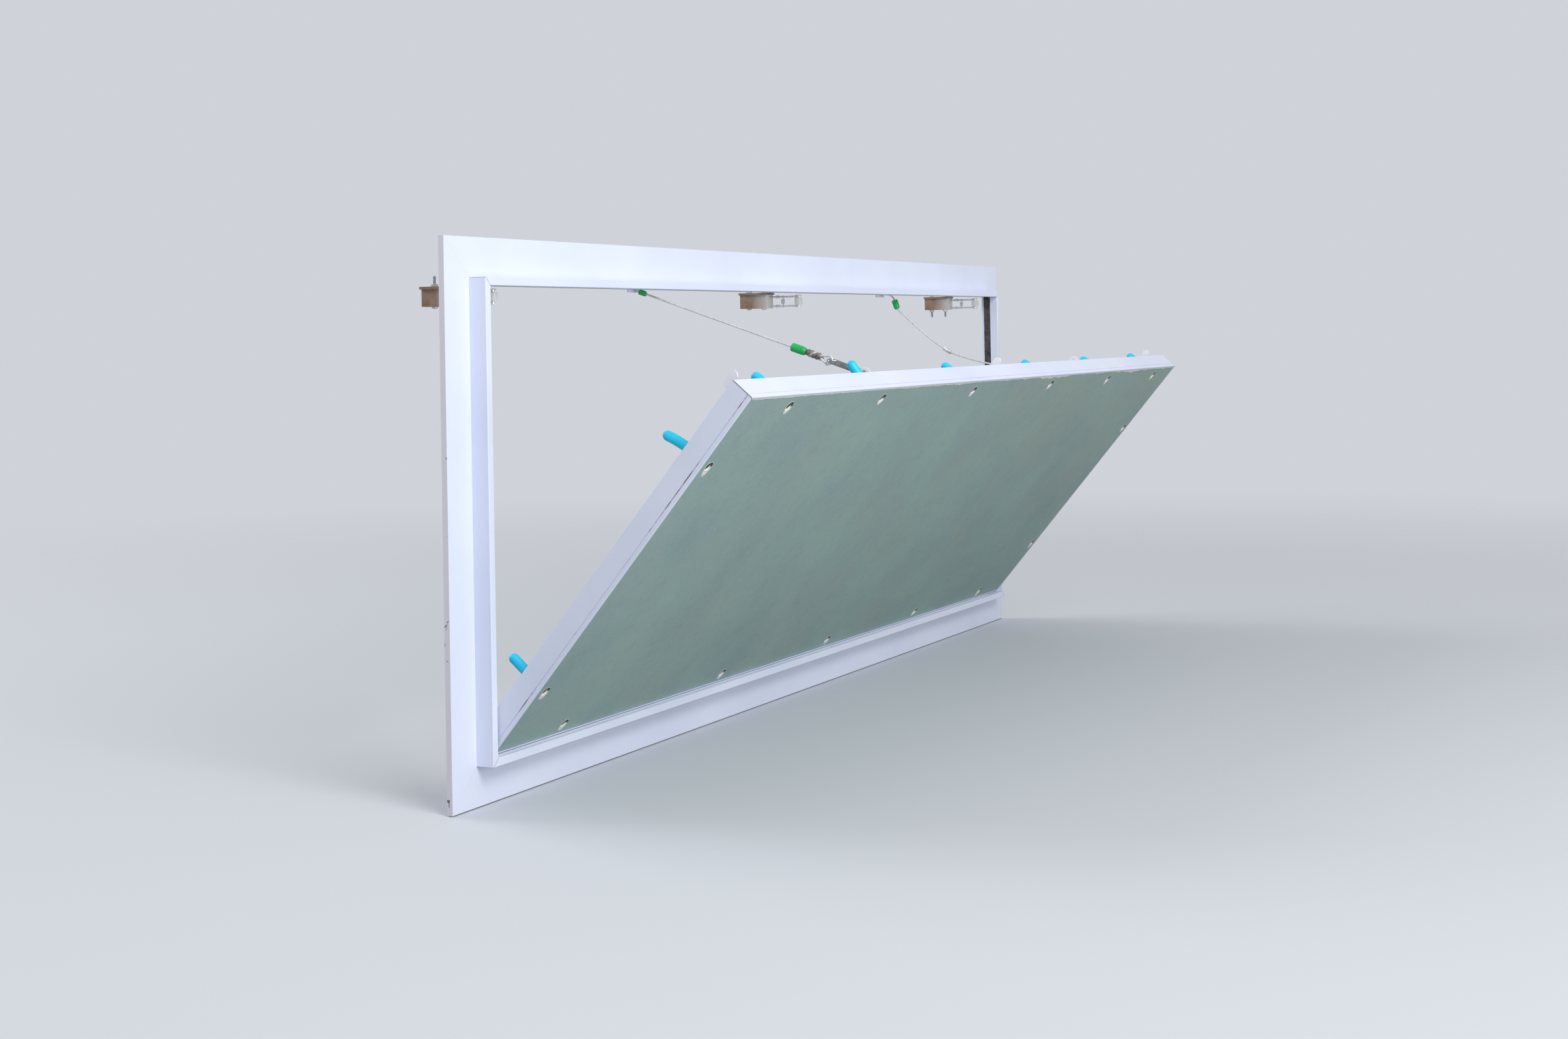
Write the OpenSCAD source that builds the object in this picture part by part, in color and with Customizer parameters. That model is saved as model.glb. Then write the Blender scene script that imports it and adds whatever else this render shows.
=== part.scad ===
// Flush access panel: a mitred lip-and-flange frame, a drop-down door that carries a
// plaster board, roller push latches along the top and two steel safety cables.
// Frame of reference: origin at the centre of the opening, on the flange's front plane.
// +X runs along the hinge, +Y goes behind the panel, +Z goes up from the hinge to the latches.

/* [Opening] */
// Clear width between the lips
opening_w = 1204; // [900:1:1600]
// Clear height between the lips
opening_h = 404; // [350:1:800]

/* [Frame profile] */
// Width of the lip box around the opening
lip_w = 7.4; // [7.2:0.1:12]
// How far the lip stands in front of the flange
lip_d = 17.5; // [16:0.5:20]
// Width of the flange outside the lip
flange_w = 35; // [20:1:60]
// Thickness of the flange
flange_t = 1.6; // [1.2:0.1:2.5]
// Depth of the outer rim, from the flange's front face
rim_d = 6; // [4:0.5:12]
// Wall of the frame profile
frame_wall = 1.2; // [1.1:0.1:1.4]
// How far the rear slot reaches behind the flange's front face
rear_d = 5; // [4:0.5:7]
// Length of the corner key's legs
frame_key_leg = 40; // [30:1:60]

/* [Seal] */
// Depth of the recess that holds the foam seal
seal_recess = 2.6; // [2.3:0.1:2.9]
// Thickness of the foam seal
seal_t = 2.1; // [1.5:0.1:2.1]
// Width of the foam seal, along the depth of the frame
seal_w = 9.5; // [7:0.5:10]
// Thickness of the ledge behind the seal
rear_ledge_t = 2.5; // [1.5:0.1:3]

/* [Door] */
// Gap between the door and the lip
door_gap = 2; // [1.6:0.1:4]
// Thickness of the door's edge rail
door_t = 22; // [20:0.5:23]
// Wall of the door's edge rail
door_wall = 2; // [1.5:0.1:2.5]
// Thickness of the plaster board
board_t = 12.5; // [9.5:0.5:12.5]
// How far the board lies below the rail's front edge
board_sink = 0.2; // [0:0.1:1]
// Play between the board's edge and the rail
board_play = 0.3; // [0.1:0.1:1]
// Reach of the flange that the board sits on
seat_w = 30; // [24:1:45]
// Thickness of the seat flange and of the rear return
seat_t = 1.5; // [1.2:0.1:2]
// Reach of the rear return
return_w = 6; // [5:0.5:7]
// Distance of the shadow groove from the rail's front edge
groove_at = 3.6; // [1:0.1:5]
// Width of the shadow groove
groove_w = 0.8; // [0.5:0.1:1.5]
// Depth of the shadow groove
groove_d = 0.5; // [0.3:0.1:0.8]
// Length of the door corner key's legs
door_key_leg = 40; // [20:1:60]
// Thickness of the door corner key
door_key_t = 4; // [2:0.5:4]

/* [Hinge] */
// Opening angle at which the safety cable stops the door
open_angle = 40; // [20:1:60]
// Distance of the hinge axis behind the door's front face
pivot_in = 5; // [4:0.5:6]
// Height of the hinge axis above the door's bottom edge
pivot_up = 10; // [9:0.5:14]
// Diameter of the hinge pins
pin_d = 4; // [3:0.5:5]
// Outer diameter of the hinge bushes
bush_d = 6; // [5.5:0.1:7]
// Length of the hinge bushes
bush_l = 8; // [6:0.5:12]
// Radial running clearance of every turning or sliding fit
run_clear = 0.05; // [0.02:0.01:0.1]

/* [Board screws] */
// Distance of the screws from the door's edge
screw_inset = 14; // [13:0.5:20]
// Diameter of the screw shank
screw_d = 3.5; // [3:0.1:4]
// Diameter of the countersunk head
screw_head_d = 8; // [6:0.1:9]
// Length of the countersunk head
screw_head_l = 2.8; // [2:0.1:4]
// How far the head lies below the board's face
screw_sink = 1.6; // [0.3:0.1:2]
// Diameter of the hole that the head is sunk in
sink_d = 10; // [9.2:0.1:11]
// Length of the screw
screw_l = 40; // [32:1:45]
// Diameter of the plastic cap over the screw's tip
cap_d = 9; // [7:0.1:9]
// Plastic of the cap beyond the screw's tip
cap_tip = 4; // [2:0.5:6]

/* [Latches] */
// Distance of the left latch from the door's left edge
latch_left_inset = 40; // [30:1:100]
// Place of the middle latch along the frame
latch_middle_x = 45; // [-60:1:60]
// Distance of the right latch from the door's right edge
latch_right_inset = 11; // [11:1:100]
// Width of the latch body
latch_w = 16; // [15:0.5:20]
// Length of the latch body
latch_l = 36; // [35:1:60]
// Height of the latch body
latch_h = 15.5; // [15.5:0.5:20]
// How far the latch body hangs below the frame's slot
latch_drop = 4.5; // [3:0.5:6]
// Corner radius of the latch body
latch_r = 2; // [1:0.5:3]
// Width of the plate that carries the latch
latch_plate_w = 20; // [18:0.5:26]
// Diameter of the fork's wire
wire_d = 2; // [1.6:0.1:2.2]
// Distance between the fork's two arms
arm_pitch = 10.5; // [10:0.1:11]
// Distance from the roller's axis to the latch body
fork_reach = 36; // [32:0.5:40]
// Push travel of the fork
push_travel = 6; // [3:0.5:6]
// Diameter of the roller
roller_d = 9; // [7:0.1:9]
// Clearance between the closed door and the roller
roller_clear = 1; // [1:0.1:4]
// Diameter of the roller pin's heads
roller_head_d = 7; // [4:0.1:8]
// Diameter of the latch screws
latch_screw_d = 3; // [2.5:0.1:3.5]
// Length that the latch screws stand out past the plate or the body
latch_stub = 10; // [5:0.5:14]

/* [Strikers and cable brackets] */
// Sheet thickness of the strikers and brackets
sheet_t = 1.5; // [1:0.1:2]
// Clearance between the roller and the striker's side
striker_clear = 0.75; // [0.5:0.05:2]
// How far the striker's tip stands behind the door's back
striker_reach = 19.5; // [14:0.5:24]
// Distance of the striker's tip below the door's top edge
striker_drop = 5; // [4:0.5:8]
// Width of the feet on the door
foot_w = 14; // [12:0.5:18]
// Height of the feet on the door
foot_h = 16; // [14:0.5:16]
// Diameter of the rivets' shank
rivet_d = 3.2; // [2.4:0.1:4]

/* [Cables] */
// Place of the two cables, on either side of the middle
cable_x = 300; // [200:1:450]
// Diameter of the cables
cable_d = 2; // [1.5:0.1:2]
// Diameter of the eye in the cable bracket
eye_d = 6; // [5.5:0.1:7]
// Diameter of the green sleeves
sleeve_d = 7; // [5:0.1:8]
// Length of the green sleeves
sleeve_l = 15.5; // [10:0.5:18]
// Diameter of the carabiner's wire
hook_d = 3.6; // [3:0.1:4]
// Width of the carabiner between wire centres
hook_w = 14; // [12:0.5:18]
// Length of the carabiner's straight sides
hook_l = 24; // [20:0.5:30]

/* [Hidden] */
$fn = 48;
EPS = 0.01;
CUT = 1;
mitre_over = 5;

door_w = opening_w - 2 * door_gap;
door_h = opening_h - 2 * door_gap;
door_front = -lip_d;
door_back = door_front + door_t;
seat_v = board_sink + board_t;
seat_back = door_front + seat_v + seat_t;
pivot_y = door_front + pivot_in;
pivot_z = -door_h / 2 + pivot_up;

// Frame profile
chamber_front = -lip_d + frame_wall;
chamber_in = frame_wall;
chamber_out = lip_w - frame_wall;
seal_back = rear_d - rear_ledge_t;
seal_front = seal_back - seal_w;
chamber_back = seal_front - frame_wall;
slot_in = seal_recess + frame_wall;
slot_out = lip_w - frame_wall;
slot_t = slot_out - slot_in;
slot_floor = seal_front;
outer_u = lip_w + flange_w;
edge_break = 0.5;
top_edge = opening_h / 2;
pin_short = 2;

// Board screws, as places on the closed door
top_row = [0.071, 0.23, 0.42, 0.615, 0.785, 0.94];
bottom_row = [0.083, 0.33, 0.538, 0.746, 0.927];
left_row = [0.18, 0.8125];
right_row = [0.2225, 0.735];
function along_x(f) = (f - 0.5) * door_w;
function along_z(f) = (f - 0.5) * door_h;
row_x = door_w / 2 - screw_inset;
row_z = door_h / 2 - screw_inset;
screw_places = concat(
    [for (f = top_row) [along_x(f), row_z]],
    [for (f = bottom_row) [along_x(f), -row_z]],
    [for (f = left_row) [-row_x, along_z(f)]],
    [for (f = right_row) [row_x, along_z(f)]]);
screw_front = door_front + board_sink + screw_sink;
screw_tip = screw_front + screw_l;

// Latches
latch_places = [-door_w / 2 + latch_left_inset, latch_middle_x, door_w / 2 - latch_right_inset];
plate_low = top_edge + slot_in;
plate_high = top_edge + slot_out;
body_top = plate_low - latch_drop;
body_low = body_top - latch_h;
shelf_high = body_top + slot_t;
roller_y = door_back + roller_clear + roller_d / 2;
body_front = roller_y + fork_reach;
body_back = body_front + latch_l;
arm_drop = 0.25;
arm_mid = body_low + latch_h / 2 - arm_drop;
arm_z = [arm_mid - arm_pitch / 2, arm_mid + arm_pitch / 2];
body_skin = 2;
fork_bend = 1.25 * wire_d;
fork_eye_d = 2.2 * wire_d;
fork_eye_t = 0.8 * wire_d;
knuckle_d = 1.6 * wire_d;
knuckle_l = 4;
knuckle_y = roller_y + 0.68 * fork_reach;
fork_back = body_front + body_skin + wire_d + fork_bend;
cavity_back = fork_back + push_travel + wire_d;
axial_play = 0.3;
roller_h = arm_pitch - wire_d - 2 * axial_play;
roller_pin_d = 2;
roller_head_t = 1.2;
latch_screws_at = [[-4.8, 6], [4.8, 30]];
nut_t = 2.4;
nut_d = 5.5;

// Strikers and cable brackets
striker_places = [for (x = latch_places) x - roller_d / 2 - striker_clear - sheet_t / 2];
bracket_places = [-cable_x, cable_x];
foot_top = door_h / 2 - door_wall - return_w;
foot_mid = foot_top - foot_h / 2;
arm_inset = 2;
arm_low = foot_top - foot_h + arm_inset;
arm_high = foot_top - 2 * arm_inset;
tip_r = 4;
eye_out = 14.5;
eye_rim = 2.5;
eye_y = door_back + eye_out;
eye_z = door_h / 2 - eye_out;
rivet_head_t = 1.2;

// Cables, in planes across the hinge, as [y, z]
function swing(p) = [
    pivot_y + (p[0] - pivot_y) * cos(open_angle) - (p[1] - pivot_z) * sin(open_angle),
    pivot_z + (p[0] - pivot_y) * sin(open_angle) + (p[1] - pivot_z) * cos(open_angle)];
function unit(v) = v / norm(v);
function angle_of(v) = atan2(v[1], v[0]);
eye_open = swing([eye_y, eye_z]);
lug_gap = 15.5;
lug_front = max(rear_d, door_back) + lug_gap;
lug_t = slot_t;
lug_back = lug_front + lug_t;
lug_drop = 2.1;
lug_low = top_edge - lug_drop;
lug_hole_d = 1.7 * cable_d;
lug_hole_up = 2.9;
lug_hole_z = lug_low + lug_hole_up;
lug_w = 16;
stop_d = 5;
stop_l = 5;
left_route = [[22.5, 203.05], [-73, 170.8], [-153.7, 143.6]];
right_route = [[22.8, 202.8], [19.5, 203.1], [14, 203.2], [8.8, 202], [5, 199.2], [3.1, 195.7], [1.15, 190.3],
    [-0.8, 184.9], [-4.6, 181], [-9.6, 176.9], [-20.7, 166.9], [-32, 157.5], [-43.3, 148.2], [-54.5, 140],
    [-62, 135.4], [-72, 129.6], [-90, 123.5], [-113, 117.5], [-140, 112.3], [-165, 110], [-190, 111.2],
    [-209.6, 114.4]];
left_pull = unit([lug_front + lug_t / 2, lug_hole_z] - eye_open);
hook_seat = eye_d / 2 - hook_d / 2 - axial_play;
loop_play = 1.2;
loop_in = hook_d / 2 + loop_play;
loop_r = loop_in + cable_d / 2;
loop_at = hook_seat + hook_w + hook_l + loop_in - hook_d / 2 - axial_play;
strand_out = 0.4 * cable_d;
strand_lap = 0.2;
sleeve_end = 80;
sleeve_at = sleeve_end - sleeve_l;
top_sleeve_l = 8;
top_sleeve_at = 8.4;
right_sleeve = [[3.1, 195.7], [-0.8, 184.9]];
right_ferrule = [[-62, 135.4], [-72, 129.6]];
ferrule_d = 5;
right_end = right_route[len(right_route) - 1];
right_pull = unit(right_end - eye_open);
ring_r = 5;
ring_at = eye_d / 2 - cable_d / 2 - axial_play + ring_r;
crimp_d = 5;
crimp_bore = 1.5 * cable_d;

// Carabiner's gate side, measured along the straight side
gate_start = 4;
gate_end = hook_l - 3;
ear_d = hook_d + 1.4;
ear_slot = 1.6;
gate_pin_d = 1.6;
gate_d = hook_d - 0.4;
gate_play = 0.2;

white = [0.90, 0.91, 0.95];
board_green = [0.55, 0.64, 0.61];
cap_blue = [0.12, 0.66, 0.93];
sleeve_green = [0.08, 0.62, 0.33];
latch_brown = [0.60, 0.54, 0.50];
steel = [0.70, 0.71, 0.73];
foam_black = [0.15, 0.15, 0.16];

// Shared shapes

module along_y(d, y0, y1) {
    translate([0, y0, 0]) rotate([-90, 0, 0]) cylinder(d = d, h = y1 - y0);
}

module along_x_rod(d, x0, x1) {
    translate([x0, 0, 0]) rotate([0, 90, 0]) cylinder(d = d, h = x1 - x0);
}

module box(low, high) {
    translate(low) cube(high - low);
}

module round_rect(w, h, r) {
    union() {
        square([w - 2 * r, h], center = true);
        square([w, h - 2 * r], center = true);
        for (sx = [-1, 1], sy = [-1, 1])
            translate([sx * (w / 2 - r), sy * (h / 2 - r)]) circle(r);
    }
}

// Quarter turns that bring the top side of a rectangle to the named side
function quarter_turns(side) = side == "top" ? 0 : side == "right" ? 1 : side == "bottom" ? 2 : 3;

// A length of a profile along one side of a w by h rectangle, mitred at both ends.
// The 2-D child holds depth as x and the distance outside the rectangle as y.
module mitred_rail(side, w, h, reach) {
    turns = quarter_turns(side);
    half_len = (turns % 2 == 1 ? h : w) / 2;
    edge = (turns % 2 == 1 ? w : h) / 2;
    deep = lip_d + door_t;
    rotate([0, 90 * turns, 0]) intersection() {
        rotate([90, 0, 90])
            linear_extrude(2 * (half_len + reach), center = true) translate([0, edge]) children();
        translate([0, deep, 0]) rotate([90, 0, 0]) linear_extrude(2 * deep) polygon([
            [-half_len + reach, edge - reach],
            [half_len - reach, edge - reach],
            [half_len + reach, edge + reach],
            [-half_len - reach, edge + reach]]);
    }
}

// Swings a piece drawn on the closed door to the open door
module open_door() {
    translate([0, pivot_y, pivot_z]) rotate([open_angle, 0, 0]) translate([0, -pivot_y, -pivot_z])
        children();
}

// A tube along a list of points, one ring of eight corners at each point
module swept_tube(points, d, sides = 8) {
    last = len(points) - 1;
    ways = [for (i = [0:last]) unit(points[min(i + 1, last)] - points[max(i - 1, 0)])];
    rings = [for (i = [0:last], k = [0:sides - 1])
        let (n = unit(cross(ways[i], abs(ways[i][0]) > 0.9 ? [0, 0, 1] : [1, 0, 0])), b = cross(ways[i], n))
        points[i] + d / 2 * (cos(360 * k / sides) * n + sin(360 * k / sides) * b)];
    walls = [for (i = [0:last - 1], k = [0:sides - 1], half = [0, 1]) let (m = (k + 1) % sides)
        half == 0 ? [i * sides + k, i * sides + m, (i + 1) * sides + m]
            : [i * sides + k, (i + 1) * sides + m, (i + 1) * sides + k]];
    polyhedron(rings, concat([[for (k = [sides - 1:-1:0]) k]], walls,
        [[for (k = [0:sides - 1]) last * sides + k]]), convexity = 6);
}

// Smooth curve through a route, with a few steps between its points
function curve_point(a, b, c, d, t) = 0.5 * (2 * b + (c - a) * t + (2 * a - 5 * b + 4 * c - d) * t * t
    + (3 * b - a - 3 * c + d) * t * t * t);
function smooth_route(r, steps) = concat(
    [for (i = [0:len(r) - 2], s = [0:steps - 1])
        curve_point(r[max(i - 1, 0)], r[i], r[i + 1], r[min(i + 2, len(r) - 1)], s / steps)],
    [r[len(r) - 1]]);

// Puts a piece drawn along +Y at a place in a cable's plane and turns it along a direction
module in_cable_plane(x, at, way) {
    translate([x, at[0], at[1]]) rotate([angle_of(way), 0, 0]) children();
}

// Fixed frame

module frame_profile() {
    difference() {
        polygon([
            [-lip_d, edge_break], [-lip_d + edge_break, 0], [seal_front, 0], [seal_front, seal_recess],
            [seal_back, seal_recess], [seal_back, 0], [rear_d, 0], [rear_d, slot_in],
            [slot_floor, slot_in], [slot_floor, slot_out], [rear_d, slot_out], [rear_d, lip_w],
            [flange_t, lip_w], [flange_t, outer_u - frame_wall], [rim_d, outer_u - frame_wall],
            [rim_d, outer_u], [edge_break, outer_u], [0, outer_u - edge_break], [0, lip_w],
            [-lip_d + edge_break, lip_w], [-lip_d, lip_w - edge_break]]);
        translate([chamber_front, chamber_in])
            square([chamber_back - chamber_front, chamber_out - chamber_in]);
    }
}

module hinge_line(d, x0, x1) {
    for (s = [-1, 1])
        translate([0, pivot_y, pivot_z]) mirror([s < 0 ? 1 : 0, 0, 0]) along_x_rod(d, x0, x1);
}

module frame_rail(side) {
    color(white) difference() {
        mitred_rail(side, opening_w, opening_h, outer_u + mitre_over) frame_profile();
        hinge_line(pin_d, opening_w / 2 - CUT, opening_w / 2 + chamber_in + EPS);
    }
}

module frame_corner_keys() {
    color(steel) difference() {
        for (sx = [0, 1], sz = [0, 1]) mirror([sx, 0, 0]) mirror([0, 0, sz]) union() {
            box([opening_w / 2 - frame_key_leg, chamber_front, opening_h / 2 + chamber_in],
                [opening_w / 2 + chamber_out, chamber_back, opening_h / 2 + chamber_out]);
            box([opening_w / 2 + chamber_in, chamber_front, opening_h / 2 - frame_key_leg],
                [opening_w / 2 + chamber_out, chamber_back, opening_h / 2 + chamber_out]);
        }
        hinge_line(pin_d, opening_w / 2, opening_w / 2 + chamber_out + CUT);
    }
}

module seal(side) {
    color(foam_black) mitred_rail(side, opening_w, opening_h, lip_w + mitre_over)
        translate([seal_front, seal_recess - seal_t]) square([seal_w, seal_t]);
}

module hinge_pins() {
    color(steel) hinge_line(pin_d, door_w / 2 - bush_l + pin_short, opening_w / 2 + chamber_out);
}

// Door, drawn closed and swung open

module door_profile() {
    translate([door_front, 0]) polygon([
        [0, -edge_break], [edge_break, 0], [groove_at, 0], [groove_at, -groove_d],
        [groove_at + groove_w, -groove_d], [groove_at + groove_w, 0], [door_t, 0],
        [door_t, -return_w - door_wall], [door_t - seat_t, -return_w - door_wall],
        [door_t - seat_t, -door_wall], [seat_v + seat_t, -door_wall], [seat_v + seat_t, -seat_w],
        [seat_v, -seat_w], [seat_v, -door_wall], [0, -door_wall]]);
}

module at_screws() {
    for (p = screw_places) translate([p[0], 0, p[1]]) children();
}

module at_rivets() {
    for (x = concat(striker_places, bracket_places), s = [-1, 1])
        translate([x - foot_w / 2, 0, foot_mid + s * foot_h / 4]) children();
}

module door_rail(side) {
    color(white) open_door() difference() {
        mitred_rail(side, door_w, door_h, seat_w + mitre_over) door_profile();
        at_screws() along_y(screw_d, door_front + seat_v - CUT, seat_back + CUT);
        at_rivets() along_y(rivet_d, door_front + seat_v - CUT, seat_back + CUT);
        hinge_line(bush_d, door_w / 2 - door_wall - CUT, door_w / 2 + CUT);
    }
}

module door_corner_keys() {
    x = door_w / 2 - door_wall;
    z = door_h / 2 - door_wall;
    low = seat_back;
    high = door_back - seat_t;
    color(steel) open_door() for (sx = [0, 1], sz = [0, 1]) mirror([sx, 0, 0]) mirror([0, 0, sz]) union() {
        box([x - door_key_leg, low, z - door_key_t], [x, high, z]);
        box([x - door_key_t, low, z - door_key_leg], [x, high, z]);
    }
}

module screw_shape() {
    translate([0, screw_front, 0]) rotate([-90, 0, 0]) union() {
        cylinder(d1 = screw_head_d, d2 = screw_d, h = screw_head_l);
        cylinder(d = screw_d, h = screw_l);
    }
}

module door_board() {
    half_w = door_w / 2 - door_wall - board_play;
    half_h = door_h / 2 - door_wall - board_play;
    color(board_green) open_door() difference() {
        box([-half_w, door_front + board_sink, -half_h], [half_w, door_front + seat_v, half_h]);
        at_screws() screw_shape();
        at_screws() along_y(sink_d, door_front, screw_front);
        hinge_line(bush_d + 2 * board_play, door_w / 2 - bush_l - board_play, door_w / 2);
    }
}

module board_screws() {
    color(steel) open_door() at_screws() screw_shape();
}

module screw_caps() {
    cap_l = screw_tip + cap_tip - seat_back;
    cap_r = cap_d / 2;
    dome = cap_r / 2;
    color(cap_blue) open_door() at_screws() translate([0, seat_back, 0]) rotate([-90, 0, 0]) difference() {
        rotate_extrude() union() {
            square([cap_r, cap_l - dome]);
            square([cap_r - dome, cap_l]);
            translate([cap_r - dome, cap_l - dome]) intersection() {
                circle(dome);
                square(dome);
            }
        }
        translate([0, 0, -CUT]) cylinder(d = screw_d, h = screw_tip - seat_back + CUT);
    }
}

module hinge_bushes() {
    color(steel) open_door() difference() {
        hinge_line(bush_d, door_w / 2 - bush_l, door_w / 2);
        hinge_line(pin_d + 2 * run_clear, door_w / 2 - bush_l - CUT, door_w / 2 + CUT);
    }
}

// Foot and side plate that the strikers and the cable brackets share
module foot(x) {
    difference() {
        box([x - foot_w, seat_back, foot_top - foot_h], [x + sheet_t / 2, seat_back + sheet_t, foot_top]);
        at_rivets() along_y(rivet_d, seat_back - CUT, seat_back + sheet_t + CUT);
    }
}

module side_plate(x) {
    translate([x - sheet_t / 2, 0, 0]) rotate([90, 0, 90]) linear_extrude(sheet_t) children();
}

module striker(i) {
    x = striker_places[i];
    tip_y = door_back + striker_reach - tip_r;
    tip_z = door_h / 2 - striker_drop - tip_r;
    color(white) open_door() union() {
        foot(x);
        side_plate(x) union() {
            translate([seat_back, arm_low]) square([tip_y - seat_back, arm_high - arm_low]);
            translate([tip_y - tip_r, arm_low + tip_r]) square([2 * tip_r, tip_z - arm_low - tip_r]);
            translate([tip_y, tip_z]) circle(tip_r);
            translate([tip_y, arm_low + tip_r]) circle(tip_r);
        }
    }
}

module cable_bracket(i) {
    x = bracket_places[i];
    ear = eye_d / 2 + eye_rim;
    color(white) open_door() union() {
        foot(x);
        side_plate(x) difference() {
            union() {
                translate([seat_back, arm_low]) square([eye_y - seat_back, arm_high - arm_low]);
                translate([eye_y, eye_z]) circle(ear);
            }
            translate([eye_y, eye_z]) circle(d = eye_d);
        }
    }
}

module bracket_rivets() {
    color(steel) open_door() at_rivets() union() {
        along_y(rivet_d, door_front + seat_v, seat_back + sheet_t);
        along_y(2 * rivet_d, seat_back + sheet_t, seat_back + sheet_t + rivet_head_t);
    }
}

// Roller push latches

module at_latch(i) {
    translate([latch_places[i], body_front, 0]) children();
}

// The right latch has its screws turned down, the other two have them turned up
function screws_down(i) = i == 2;

module at_latch_screws(i) {
    for (p = latch_screws_at) at_latch(i) translate([p[0], p[1], 0]) children();
}

// Plate that steps down from the frame's slot to a shelf on the latch body
module latch_plate(i) {
    left = latch_places[i] - latch_plate_w / 2;
    right = latch_places[i] + latch_plate_w / 2;
    web_back = body_front + slot_t;
    color(steel) difference() {
        union() {
            box([left, slot_floor, plate_low], [right, web_back, plate_high]);
            box([left, body_front, body_top], [right, web_back, plate_high]);
            box([left, body_front, body_top], [right, body_back, shelf_high]);
        }
        at_latch_screws(i) translate([0, 0, body_top - CUT])
            cylinder(d = latch_screw_d, h = slot_t + 2 * CUT);
    }
}

module latch_body(i) {
    color(latch_brown) difference() {
        translate([latch_places[i], body_front + latch_l / 2, body_low])
            linear_extrude(latch_h) round_rect(latch_w, latch_l, latch_r);
        translate([latch_places[i], 0, 0]) box(
            [-wire_d / 2 - axial_play, body_front + body_skin, arm_z[0] - wire_d / 2 - axial_play],
            [wire_d / 2 + axial_play, cavity_back, arm_z[1] + wire_d / 2 + axial_play]);
        for (z = arm_z)
            translate([latch_places[i], 0, z])
                along_y(wire_d + 2 * run_clear, body_front - CUT, body_front + body_skin + CUT);
        at_latch_screws(i) translate([0, 0, body_low - CUT])
            cylinder(d = latch_screw_d, h = latch_h + 2 * CUT);
    }
}

module latch_screws() {
    head_t = 1.8;
    color(steel) for (i = [0:2]) at_latch_screws(i) {
        low = screws_down(i) ? body_low - latch_stub : body_low;
        high = screws_down(i) ? shelf_high : shelf_high + latch_stub;
        head_z = screws_down(i) ? shelf_high : body_low - head_t;
        union() {
            translate([0, 0, low]) cylinder(d = latch_screw_d, h = high - low);
            translate([0, 0, head_z]) cylinder(d = nut_d, h = head_t);
        }
    }
}

module latch_nuts() {
    color(steel) for (i = [0:2]) at_latch_screws(i)
        translate([0, 0, screws_down(i) ? body_low - nut_t : shelf_high]) difference() {
            cylinder(d = nut_d / cos(30), h = nut_t, $fn = 6);
            translate([0, 0, -CUT]) cylinder(d = latch_screw_d, h = nut_t + 2 * CUT);
        }
}

// U-shaped wire: two arms, flat where the roller pin's heads bear, bent round inside the latch body
module latch_fork(i) {
    color(steel) translate([latch_places[i], 0, 0]) difference() {
        union() {
            for (s = [0, 1]) translate([0, 0, arm_mid]) mirror([0, 0, s]) {
                translate([0, 0, arm_pitch / 2]) along_y(wire_d, roller_y, fork_back - fork_bend);
                translate([0, 0, arm_pitch / 2]) along_y(knuckle_d, knuckle_y, knuckle_y + knuckle_l);
                translate([0, fork_back - fork_bend, arm_pitch / 2 - fork_bend]) rotate([90, 0, 90])
                    rotate_extrude(angle = 90) translate([fork_bend, 0]) circle(d = wire_d);
                translate([0, roller_y, arm_pitch / 2])
                    cylinder(d = fork_eye_d, h = fork_eye_t, center = true);
            }
            translate([0, fork_back, arm_mid])
                cylinder(d = wire_d, h = arm_pitch - 2 * fork_bend, center = true);
        }
        translate([0, roller_y, arm_mid])
            cylinder(d = roller_pin_d, h = arm_pitch + 2 * wire_d, center = true);
        for (s = [0, 1]) translate([0, roller_y, arm_mid]) mirror([0, 0, s])
            translate([0, 0, (arm_pitch + fork_eye_t) / 2])
                cylinder(d = roller_head_d + 2 * axial_play, h = roller_head_t);
    }
}

module roller_pin(i) {
    low = arm_z[0] - fork_eye_t / 2;
    high = arm_z[1] + fork_eye_t / 2;
    color(white) translate([latch_places[i], roller_y, 0]) union() {
        translate([0, 0, low]) cylinder(d = roller_pin_d, h = high - low);
        translate([0, 0, low - roller_head_t]) cylinder(d = roller_head_d, h = roller_head_t);
        translate([0, 0, high]) cylinder(d = roller_head_d, h = roller_head_t);
    }
}

module latch_roller(i) {
    color(white) translate([latch_places[i], roller_y, arm_mid]) difference() {
        union() {
            cylinder(d = roller_d, h = roller_h - 2 * edge_break, center = true);
            cylinder(d = roller_d - 2 * edge_break, h = roller_h, center = true);
        }
        cylinder(d = roller_pin_d + 2 * run_clear, h = roller_h + 1, center = true);
    }
}

// Close-wound spring hooked between the fork's arms
module latch_spring(i) {
    coil_r = 1.9;
    turns = 7;
    per_turn = 10;
    spring_wire = 0.7;
    low = arm_z[0] + wire_d / 2 + spring_wire / 2;
    high = arm_z[1] - wire_d / 2 - spring_wire / 2;
    spring_y = roller_y + 0.55 * fork_reach;
    count = turns * per_turn;
    color(steel) translate([latch_places[i], spring_y, 0]) swept_tube(
        [for (k = [0:count]) [coil_r * cos(360 * k / per_turn), coil_r * sin(360 * k / per_turn),
            low + (high - low) * k / count]], spring_wire, 6);
}

// Safety cables

module cable_anchor(i) {
    x = bracket_places[i];
    color(white) difference() {
        union() {
            box([x - lug_w / 2, slot_floor, plate_low], [x + lug_w / 2, lug_back, plate_high]);
            box([x - lug_w / 2, lug_front, lug_low], [x + lug_w / 2, lug_back, plate_high]);
        }
        translate([x, 0, lug_hole_z]) along_y(lug_hole_d, lug_front - CUT, lug_back + CUT);
    }
}

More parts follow.
